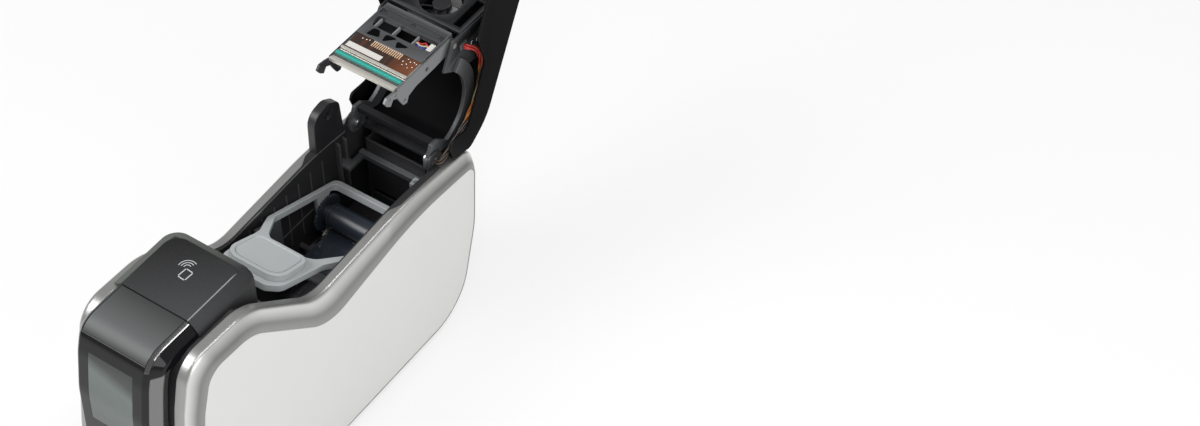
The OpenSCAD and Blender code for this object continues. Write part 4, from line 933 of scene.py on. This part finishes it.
class CARDPRINTER_OT_side_covers(DressOperator, bpy.types.Operator):
    """The two silver side covers, each a skin from the rim over the ridge to the band, and their panels"""

    bl_idname = "card_printer.side_covers"
    bl_label = "Side covers and panels"

    def build(self, scene):
        sizes = scene.printer_sizes
        ridge = rounded_outline(RIDGE, sizes.steps)
        band = rounded_outline(BAND, sizes.steps)
        fillet = sizes.ridge / MM
        turn = RIDGE_TURN / BAND_WIDTH

        def between(t):
            return [(a[0] + (b[0] - a[0]) * t, a[1] + (b[1] - a[1]) * t) for a, b in zip(ridge, band)]

        # Stations from the cavity's floor round the inner edge, over the ridge and into the pocket
        cavity, inner = inset(band, COVER_WALL), inset(ridge, COVER_WALL)
        stations = [(RIDGE_X + 3.5, cavity), (RIDGE_X, cavity), (RIDGE_X, inner), (BAY_X, inner),
                    (BAY_X, inset(ridge, 0.8)), (BAY_X + 0.2, inset(ridge, 0.25)), (BAY_X + 0.8, ridge)]
        for k in range(7):
            t = k / 6
            x = (1 - t) ** 2 * (RIDGE_X - fillet) + 2 * t * (1 - t) * RIDGE_X + t * t * (RIDGE_X + RIDGE_TURN)
            stations.append((x, between(t * t * turn)))
        for k in range(1, 8):
            t = turn + (1 - turn) * k / 7
            bulge = BAND_BULGE * math.sin(math.pi * (t - 0.2) / 0.8)
            stations.append((RIDGE_X + BAND_WIDTH * t - (0.0 if k < 7 else 0.25), between(t - bulge)))
        pocket = inset(band, PANEL_SEAM)
        stations += [(HALF_WIDTH, inset(band, 0.25)), (HALF_WIDTH - 0.05, inset(band, 0.9)),
                     (HALF_WIDTH - 0.3, pocket), (HALF_WIDTH - PANEL_T, pocket)]
        lip = inset(band, PANEL_SEAM + 0.15)
        panel = [(HALF_WIDTH - PANEL_T, lip), (HALF_WIDTH - 0.7, lip), (HALF_WIDTH - 0.32, inset(band, 1.42)),
                 (HALF_WIDTH - 0.2, inset(band, 1.8)), (HALF_WIDTH - 0.2, inset(band, 6.0))]
        for side, s in SIDES:
            for name, rings, finish, slot in (("side_cover", stations, "silver", "satin_silver"),
                                              ("side_panel", panel, "panel", "light_grey")):
                bm = outward(loft([[(s * x, y, z) for y, z in ring] for x, ring in rings]))
                shown(f"{name}_{side}_skin", bm, [finish], "body", [f"{name}_{side}"], least=50)


# Outline of the front from above the seam to the bin, and its section: x, and how far it lies back
PROFILE = [(HOOD_SEAM - 1.4, HOOD_TOP, 0), (-176, HOOD_TOP, 26), (-190, 263, 22), (-198, 242, 60),
           (-206, 202, 90), (-209, 152, 80), (-207, 112.6, 0)]
SHOULDERS = [(-46.8, 16), (-46.8, 9), (-46.3, 6.6), (-45.3, 4.8), (-43.6, 3.0), (-42.0, 1.3), (-41.0, 0.45),
             (-40.0, 0.08), (-38.7, 0), (-18, 0), (0, 0), (16, 0), (27.2, 0), (27.9, 0.08), (28.3, 0.2),
             (30.2, 0.96), (32.1, 1.73), (32.5, 1.95), (33.0, 2.45), (38.2, 9.2), (39.4, 12), (39.6, 14),
             (39.6, 18)]
AHEAD = -225                    # plane in front of the printer, where cuts into the front begin
WINDOW = (-30, 18, 172, 246)    # x and z of the opening for the display
LENS_SEAM = 0.2
BUTTON_HOLE = (25, 134, 7.2)    # x, z and radius


def front_shell(thick, proud=0.0):
    """The bent shell of the front, thick inwards from its outer face."""
    inner = [(x * (1 - thick / 40), depth + thick) for x, depth in reversed(SHOULDERS)]
    return sweep(rounded_outline(PROFILE, 14), [(x, depth - proud) for x, depth in SHOULDERS] + inner)


class CARDPRINTER_OT_front(DressOperator, bpy.types.Operator):
    """Glossy front panel, window over the display, frame, front deck, button and card bin"""

    bl_idname = "card_printer.front"
    bl_label = "Front"

    def build(self, scene):
        edge = scene.printer_sizes.edge / MM
        x0, x1, z0, z1 = WINDOW
        bm = cut(front_shell(2.4), box(x0, x1, AHEAD, -186, z0, z1))
        bm = cut(bm, box(-29, 29, AHEAD, -198, 114.1, 119.1))
        bm = cut(bm, plate(disc(*BUTTON_HOLE, 40), 1, AHEAD, -198))
        shown("front_panel_gloss", bm, ["front"], "body", ["front_panel"], least=28)
        seen = box(x0 + LENS_SEAM, x1 - LENS_SEAM, AHEAD, -186, z0 + LENS_SEAM, z1 - LENS_SEAM)
        lens = cut(front_shell(1.3, -0.12), seen, "INTERSECT")
        shown("display_window", lens, ["display"], "body", ["display_lens"], least=28)
        softened("front_frame", "charcoal", "body", "charcoal", edge)
        softened("output_bin", "charcoal", "body", "charcoal", edge)
        softened("output_door", "charcoal", "bin_door", "dark_grey", edge)
        softened("power_button", "switch", "button", "dark_grey", 0.5, 3, "power_button_cap")
        finish_node("display_module", "screen", "screen")
        finish_node("front_deck", "chassis")


# Rings of the hood from its underside up: left and right edge, rear edge, corner radius, height
# The left border laps a little over the rim of the side cover
HOOD = [(-46.8, 39.6, -62.2, 11, None), (-46.8, 39.6, -62.2, 11, 255.0), (-46.8, 39.3, -62.5, 11, 257.2),
        (-46.8, 38.4, -62.9, 10.8, 259.0), (-46.9, 37.0, -63.3, 10.6, 260.6), (-50.2, 36.2, -63.4, 10.5, 261.5),
        (-50.8, 35.6, -63.7, 10.4, 262.1), (-50.4, 35.1, -64.2, 10.3, 262.6), (-46.2, 32.6, -67.8, 9.8, 265.0),
        (-42.4, 30.4, -71.6, 9.4, 267.2), (-41.6, 29.7, -72.7, 9.2, 267.75), (-40.6, 28.9, -73.8, 9.0, HOOD_TOP),
        (-39.4, 27.6, -74.8, 8.8, 267.97)]
DECK_H = 252.2                  # the front deck under the hood, which falls from DECK_Y to the rear
DECK_Y = -101.0
DECK_FALL = 0.76
MARK_CENTRE = (-7.9, -95.6)
MARK_ARCS = ((3.2, 0.4), (5.7, 0.38), (8.1, 0.36))      # radius and half width of the line
MARK_CARD = [(-8.0, -96.6), (-0.2, -97.3), (-0.9, -107.3), (-8.7, -106.6)]
CARD_LINE = 0.5


class CARDPRINTER_OT_hood(DressOperator, bpy.types.Operator):
    """Textured hood with sloping shoulders and a plain mark for a contactless card"""

    bl_idname = "card_printer.hood"
    bl_label = "Hood"

    def build(self, scene):
        rings = []
        for left, right, rear, radius, height in HOOD:
            outline = rounded_outline([(left, HOOD_SEAM, 0), (left, rear, radius + 5), (right, rear, radius),
                                       (right, HOOD_SEAM, 0)], 12)
            rings.append([(x, y, height or self.deck(y)) for x, y in outline])
        shown("hood_shell", outward(loft(rings)), ["hood"], "body", ["hood"], least=34)
        self.mark()

    def deck(self, y):
        """Height of the front deck at a place from front to rear"""
        return DECK_H - max(y - DECK_Y, 0.0) * DECK_FALL

    def mark(self):
        """Three arcs from the corner of an upright card, inlaid in the top"""
        low, high = HOOD_TOP - 1.0, HOOD_TOP + 0.06
        parts = []

        def strip(points, half):
            rings = []
            for i, (x, y) in enumerate(points):
                a, b = points[max(i - 1, 0)], points[min(i + 1, len(points) - 1)]
                dx, dy = unit(b[0] - a[0], b[1] - a[1])
                left, right = (x - dy * half, y + dx * half), (x + dy * half, y - dx * half)
                rings.append([(*left, low), (*right, low), (*right, high), (*left, high)])
            parts.append(loft(rings))

        cx, cy = MARK_CENTRE
        for r, half in MARK_ARCS:
            strip([(cx + r * math.cos(math.radians(a)), cy + r * math.sin(math.radians(a)))
                   for a in range(62, 193, 10)], half)
        for a, b in zip(MARK_CARD, MARK_CARD[1:] + MARK_CARD[:1]):
            u = unit(b[0] - a[0], b[1] - a[1])
            strip([(a[0] - u[0] * CARD_LINE, a[1] - u[1] * CARD_LINE),
                   (b[0] + u[0] * CARD_LINE, b[1] + u[1] * CARD_LINE)], CARD_LINE)
        whole = bmesh.new()
        for part in parts:
            add(whole, part, 0)
        shown("contactless_mark", outward(whole), ["icon"], "body", weighted=False)


class CARDPRINTER_OT_bay(DressOperator, bpy.types.Operator):
    """Walls, floor, guides, hopper, switch and hinge plates of the open ribbon bay"""

    bl_idname = "card_printer.bay"
    bl_label = "Ribbon bay"

    def build(self, scene):
        edge = scene.printer_sizes.edge / MM
        for node, finish, slot, *width in (
                ("chassis_wall_left", "chassis", "frame_black", 0.3),
                ("chassis_wall_right", "chassis", "frame_black", 0.3),
                ("roller_cover", "inside", "frame_black", edge),
                ("card_guides", "inside", "dark_grey", 0.3),
                ("transport_floor", "inside", "frame_black", 0.3),
                ("hopper_bar", "arm", "zinc", edge),
                ("input_hopper", "inside", "frame_black", edge),
                ("ribbon_gearbox", "inside", "dark_grey", edge * 1.6, 3),
                ("lid_switch", "switch", "light_grey", 0.3),
                ("hinge_plates", "inside", "zinc", 0.3)):
            softened(node, finish, "body", slot, *width)
        self.rim_strips(scene.printer_sizes.steps)
        self.wall_ribs()

    def wall_ribs(self):
        """Shallow ribs, a ledge and two guide posts on the walls of the bay"""
        for side, s in SIDES:
            ribs = bars((s * 46.85, -34, 152), (0, 17, 0), 10, (0.5, 1.4, 66), "chassis", 0.15)
            ledge = bars((s * 46.8, 44, 138), (0, 0.1, 0), 1, (0.6, 158, 1.6), "chassis", 0.2)
            posts = bars((s * 44.6, 140, 160), (0, 9, 0), 2, (5.0, 3.4, 62), "inside", 0.5)
            shown("wall_ribs_" + side, mixed(ribs, ledge, posts), ["chassis", "chassis", "inside"], "body")

    def rim_strips(self, steps):
        """Black strips on the inner part of both rims, wider towards the hinge"""
        line = [p for p in rounded_outline(RIDGE, steps) if -60 < p[0] < REAR_Y - 8 and p[1] > 150]
        fine = []
        for a, b in zip(line, line[1:]):
            n = max(int(abs(b[0] - a[0]) / 3), 1)
            fine += [(a[0] + (b[0] - a[0]) * k / n, a[1] + (b[1] - a[1]) * k / n) for k in range(n)]
        fine = [p for p in fine if p[0] < HINGE_Y + 3]
        for side, s in SIDES:
            rings = []
            for y, z in fine:
                t = min(max((y - 92) / 16, 0), 1)
                x1 = 48.2 + 5.4 * t * t * (3 - 2 * t) - 0.8 * min(max((y - 130) / 30, 0), 1)
                rings.append([(s * 47.1, y, z - 1.5), (s * x1, y, z - 0.6), (s * x1, y, z + 0.25),
                              (s * (x1 - 0.35), y, z + 0.55), (s * 47.5, y, z + 0.55), (s * 47.1, y, z + 0.2)])
            shown("rim_strip_" + side, outward(loft(rings)), ["chassis"], "body", least=50)


class CARDPRINTER_OT_card_drive(DressOperator, bpy.types.Operator):
    """Rollers, gears, motor, boards and supply under the bay"""

    bl_idname = "card_printer.card_drive"
    bl_label = "Card drive"

    def build(self, scene):
        for node, finish, body, slot in (
                ("platen_roller", "rubber", "platen", "rubber_black"),
                ("feed_roller", "rubber", "feed", "rubber_black"),
                ("cleaning_roller", "clean", "cleaner", "roller_rust"),
                ("idler_gear", "acetal", "idler", "gear_white"),
                ("motor_pinion", "brass", "pinion", "brass_gear"),
                ("ribbon_gear", "acetal", "ribbon_drive", "gear_white"),
                ("feed_motor", "zinc", "body", "zinc")):
            softened(node, finish, body, slot, 0.25, 1)
        finish_node("main_board", "green_board", "brass", "inside", "zinc")
        finish_node("power_supply", "zinc")
        finish_node("base_tray", "charcoal")
        finish_node("rubber_feet", "feet")
        finish_node("case_screws", "zinc")


# Route of the wires beside the right arm, from the fan housing to the hinge: x, and y and z from the hinge
WIRE_ROUTE = [(43.8, 55, 98), (45.4, 55, 98), (47.2, 55.8, 97.6), (48.6, 57.6, 96.5), (49.5, 60.4, 94.3),
              (49.9, 63.6, 90.6), (50, 67, 85), (50, 69.6, 76), (50, 70, 66), (50, 67.5, 52), (50, 62, 38),
              (50, 54, 26), (50.1, 44, 17), (50.4, 33, 11), (51, 22, 7), (51.7, 12, 3.8), (52, 4.5, 1.5),
              (51.7, 2.8, 0.9), (50.8, 1.3, 0.4), (49.5, 0.3, 0.1), (48, 0, 0), (47.1, 0, 0)]
WIRE_OFFSETS = [(1.15, 1.15), (-1.15, 1.15), (1.15, -1.15), (-1.15, -1.15)]
WIRE_TURN = 62                  # the wires wind about each other once in this length


def from_hinge(points):
    return [(x, HINGE_Y + y, HINGE_Z + z) for x, y, z in points]


def twisted(route, offsets, turn):
    """Paths of wires that wind about a route, and draw together at its ends."""
    middle = smooth_path(route, 6)
    last = len(middle) - 1
    side = Vector((0, 0, 1))
    run = 0.0
    paths = [[] for _ in offsets]
    for i, point in enumerate(middle):
        before = middle[max(i - 1, 0)]
        ahead = (middle[min(i + 1, last)] - before).normalized()
        side = (side - ahead * side.dot(ahead)).normalized()
        across = ahead.cross(side)
        run += (point - before).length
        spread = 0.55 + 0.45 * min(i / 6, (last - i) / 6, 1.0)
        a = 2 * math.pi * run / turn
        for path, (u, v) in zip(paths, offsets):
            path.append(point + (side * (u * math.cos(a) - v * math.sin(a))
                                 + across * (u * math.sin(a) + v * math.cos(a))) * spread)
    return paths


def wires(name, paths, finishes, radius, body, nodes=()):
    parts = [grown("wires", path, finish, [(i, i + 1) for i in range(len(path) - 1)], Radius=radius * MM)
             for path, finish in zip(paths, finishes)]
    shown(name, mixed(*parts), finishes, body, nodes, least=60, weighted=False)


def screws(name, spots, radius, turn, finish, body):
    """Screw heads at spots measured from the hinge, all turned one way."""
    bm = grown("screws", from_hinge(spots), finish, Radius=radius * MM, Turn=Vector(turn))
    shown(name, bm, [finish], body, weighted=False)


class CARDPRINTER_OT_lid(DressOperator, bpy.types.Operator):
    """Open lid with its frame, hinge arms, fan and wires"""

    bl_idname = "card_printer.lid"
    bl_label = "Lid"

    def build(self, scene):
        sizes = scene.printer_sizes
        for row in (("lid_shell", "lid", "lid", "lid_black", 0.8, 3),
                    ("lid_frame", "lid_frame", "lid", "dark_grey", sizes.edge / MM),
                    ("lid_arm_left", "arm", "lid", "dark_grey", 0.6, 3),
                    ("lid_arm_right", "arm", "lid", "dark_grey", 0.6, 3),
                    ("hinge_pins", "steel", "lid", "steel", 0.3),
                    ("fan_housing", "inside", "lid", "frame_black", 0.3),
                    ("fan_rotor", "inside", "fan", "frame_black", 0.2, 1)):
            softened(*row)
        wires("lid_wires", twisted(from_hinge(WIRE_ROUTE), WIRE_OFFSETS, WIRE_TURN),
              ["wire_a", "wire_b", "wire_c", "wire_d"], sizes.wire / MM, "lid", ["lid_harness"])
        screws("lid_side_screws", [(41.1, 70.4, 88.4), (41.1, 78.4, 86.0)], 2.4, (0, math.pi / 2, 0), "steel",
               "lid")


HEAD_SIDE = 35.5                # half the width of the head's plate
# Outline of the head's side brackets, and their holes: y and z from the hinge, then the radius
BRACKET = [(-31, 109, 0.4), (-38, 111, 1), (-46, 112, 1.5), (-50, 108, 1), (-47, 103, 0.6), (-42, 99, 1),
           (-38, 104, 0.6), (-32, 101, 0.8), (-30, 96, 1), (-25, 87, 0.8), (-20, 86, 1), (-17, 92, 1), (-6, 95, 3),
           (20, 95, 6), (44, 97, 4), (51, 100, 1.5), (51, 106, 2), (44, 110.6, 2), (-31, 110.6, 0.4)]
BRACKET_HOLES = ((-42.5, 107.5, 1.3), (-34.5, 106.5, 1.3), (-23, 91.5, 1.5), (10, 102, 2.2))
# Openings in the head's plate: x, y from the hinge, radius of the corner
SLOT = [(-29, 19, 3), (-32.5, 33, 3.5), (34, 33.5, 3), (34.6, 20, 3)]
POCKETS = ([(-27, 7.5, 1.6), (-25.5, 17.5, 3), (-19, 18, 3), (-14, 10, 1.6)],
           [(-9.5, 7.5, 1.2), (-11.5, 17, 2), (1.5, 17.6, 1.2)],
           [(5.5, 7.6, 1.2), (1.5, 15.6, 1.6), (16.5, 14.2, 1.2)])
SOLDER_SPOTS = [(20.5, -1.5), (22.4, -5.2), (25.2, -2.4), (28.6, -5.6), (31.8, -3.2), (26.8, 1.2), (30.4, 2.6),
                (-22, 2.6), (-19, 3.4), (-25.5, 1.9), (33, 1.5), (23.4, 3.2)]


def hinge_box(x0, x1, y0, y1, z0, z1):
    """A box whose y and z are measured from the hinge."""
    return box(x0, x1, HINGE_Y + y0, HINGE_Y + y1, HINGE_Z + z0, HINGE_Z + z1)


class CARDPRINTER_OT_print_head(DressOperator, bpy.types.Operator):
    """Print head: carriage, heat sink, bars, heating strip and its board"""

    bl_idname = "card_printer.print_head"
    bl_label = "Print head"

    def build(self, scene):
        self.carriage()
        self.slot_parts()
        self.board()
        softened("head_heatsink", "fins", "print_head", "heatsink", 0.25)
        softened("head_bars", "bright", "print_head", "steel", 0.3)
        finish_node("thermal_strip", "strip")

    def bracket(self, x0, x1):
        """Side bracket with hooked ends"""
        edge = [(HINGE_Y + y, HINGE_Z + z) for y, z in rounded_outline(BRACKET[::-1], 4)]
        bm = plate(edge, 0, x0, x1)
        for y, z, r in BRACKET_HOLES:
            bm = cut(bm, plate(disc(HINGE_Y + y, HINGE_Z + z, r, 16), 0, x0 - 1, x1 + 1))
        return chamfer(bm, 0.3)

    def web(self):
        """Plate between the brackets with a long slot, three pockets and a groove"""
        bm = hinge_box(-HEAD_SIDE, HEAD_SIDE, 5, 50, 106.9, HEAD_TOP + 0.5)
        bm = cut(bm, hinge_box(-36, 36, 0, 13.9, 100, HEAD_TOP - 0.15))
        for opening, floor in ((SLOT, 100), *((pocket, HEAD_TOP) for pocket in POCKETS)):
            outline = [(x, HINGE_Y + y) for x, y in rounded_outline(opening, 5)]
            bm = cut(bm, plate(outline, 2, HINGE_Z + floor, HINGE_Z + 120))
        return chamfer(cut(bm, hinge_box(-34, 34, 36, 43, 110.9, 120)), 0.35)

    def carriage(self):
        """Brackets, pivot pins and the plate with its ribs; the pockets' floors take a near-black painted shade"""
        pivot = disc(HINGE_Y + 46, HINGE_Z + 103, 2.9, 20)
        pins = [outward(plate(pivot, 0, s * 37.4, s * 40.8)) for _, s in SIDES]
        ribs = [outward(hinge_box(-HEAD_SIDE, HEAD_SIDE, 46, 50, 102.8, 107))]
        ribs += [outward(hinge_box(x, x + 1.6, 19.5, 32, 106.9, 110.4)) for x in (-28.6, -9, 12)]
        whole = mixed(*pins, self.web(), *ribs)
        for face in whole.faces:
            # Faces on the pockets' floors take the near-black painted shade
            painted_shade = abs(face.calc_center_median().z - (HINGE_Z + HEAD_TOP) * MM) < 0.06 * MM
            face.material_index = 3 if painted_shade and face.normal.z > 0.9 else 0
        add(whole, self.bracket(-37.6, -35.3), 1)
        add(whole, self.bracket(35.3, 37.6), 2)
        shown("head_carriage_frame", whole, ["frame", "inside", "bracket", "pocket_shade"], "print_head",
              ["head_carriage"])
        screws("carriage_screws", [(x, 39.5, 110.9) for x in (0.5, -31, 31)], 2.3, (0, 0, 0), "inside",
               "print_head")

    def slot_parts(self):
        """Loose wires in the slot and the plug they end in"""
        rows = [[(12 + 3.2 * i, 22.2 + 2.3 * k + 0.9 * math.sin(1.7 * i + k),
                  107.4 + 0.9 * math.cos(2.1 * i + 2 * k)) for i in range(6)] for k in range(4)]
        wires("slot_wires", [smooth_path(from_hinge(row), 5) for row in rows], ["red", "blue", "beige", "red"],
              0.75, "print_head")
        plug = chamfer(outward(hinge_box(27.6, 32.8, 21.2, 30.6, 106.9, 111.2)), 0.4)
        shown("slot_plug", plug, ["label"], "print_head")

    def board(self):
        """Board with its comb of copper fingers, solder beads and a blank label"""
        base = chamfer(outward(hinge_box(-34.3, 34.3, -14.6, 13.6, 110.62, 111.8)), 0.2, 1)
        fingers = bars((-14, HINGE_Y + 1.4, HINGE_Z + 111.95), (2.15, 0, 0), 15, (0.8, 6.4, 0.5), "copper", 0.12)
        rail = bars((0.8, HINGE_Y + 4.7, HINGE_Z + 112.1), (0.1, 0, 0), 1, (31.5, 0.7, 0.5), "solder")
        beads = grown("beads", from_hinge([(x, y, 111.85) for x, y in SOLDER_SPOTS]), "solder", Radius=0.75 * MM)
        label = outward(hinge_box(-33.5, 3.5, -13.2, -7.0, 111.75, 111.95))
        shown("head_board_parts", mixed(base, fingers, rail, beads, label),
              ["board", "copper", "solder", "solder", "label"], "print_head", ["head_board"])


class CARDPRINTER_OT_cartridge(DressOperator, bpy.types.Operator):
    """Ribbon cartridge with its handle, shroud, film and two rolls"""

    bl_idname = "card_printer.cartridge"
    bl_label = "Ribbon cartridge"

    def build(self, scene):
        for row in (("cartridge_frame", "cartridge", "cartridge", "cart_grey", 0.8, 3),
                    ("cartridge_handle", "cartridge", "cartridge", "cart_grey", 0.8, 3),
                    ("cartridge_shroud", "shroud", "cartridge", "dark_grey", 0.5),
                    ("supply_spool", "roll", "supply", "film_dark", 0.3, 1),
                    ("takeup_spool", "roll", "takeup", "film_dark", 0.25, 1)):
            softened(*row)
        finish_node("ribbon_film", "film")


class CARDPRINTER_OT_rear(DressOperator, bpy.types.Operator):
    """Rear cover with the flap of the card hopper, the inlet and the ports"""

    bl_idname = "card_printer.rear"
    bl_label = "Rear"

    def build(self, scene):
        edge = scene.printer_sizes.edge / MM
        softened("rear_cover", "charcoal", "body", "charcoal", edge)
        softened("hopper_door", "charcoal", "hopper_flap", "dark_grey", edge)
        finish_node("power_inlet", "inside", "bright")
        finish_node("data_ports", "zinc", "inside")


# ---------------------------------------------------------------- panel and run


OPERATORS = (CARDPRINTER_OT_stage, CARDPRINTER_OT_side_covers, CARDPRINTER_OT_front, CARDPRINTER_OT_hood,
             CARDPRINTER_OT_bay, CARDPRINTER_OT_card_drive, CARDPRINTER_OT_lid, CARDPRINTER_OT_print_head,
             CARDPRINTER_OT_cartridge, CARDPRINTER_OT_rear)


class CARDPRINTER_PT_panel(bpy.types.Panel):
    """Colours, sizes and pieces of the card printer"""

    bl_label = "Card Printer"
    bl_idname = "CARDPRINTER_PT_panel"
    bl_space_type = "VIEW_3D"
    bl_region_type = "UI"
    bl_category = "Card Printer"

    def draw(self, context):
        scene = context.scene
        for group in (scene.printer_colours, scene.printer_sizes, scene.printer_light):
            column = self.layout.box().column()
            for name in type(group).__annotations__:
                column.prop(group, name)
        for operator in OPERATORS:
            self.layout.operator(operator.bl_idname)


CLASSES = (PrinterColours, PrinterSizes, PrinterLight, *OPERATORS, CARDPRINTER_PT_panel)


def register():
    for cls in CLASSES:
        bpy.utils.register_class(cls)
    bpy.types.Scene.printer_colours = PointerProperty(type=PrinterColours)
    bpy.types.Scene.printer_sizes = PointerProperty(type=PrinterSizes)
    bpy.types.Scene.printer_light = PointerProperty(type=PrinterLight)


def unregister():
    del bpy.types.Scene.printer_light
    del bpy.types.Scene.printer_sizes
    del bpy.types.Scene.printer_colours
    for cls in reversed(CLASSES):
        bpy.utils.unregister_class(cls)


def main():
    register()
    colours = bpy.context.scene.printer_colours
    mix_finishes({name: tuple(getattr(colours, name)) for name in PrinterColours.__annotations__})
    for operator in OPERATORS:
        family, name = operator.bl_idname.split(".")
        getattr(getattr(bpy.ops, family), name)()


if __name__ == "__main__":
    main()
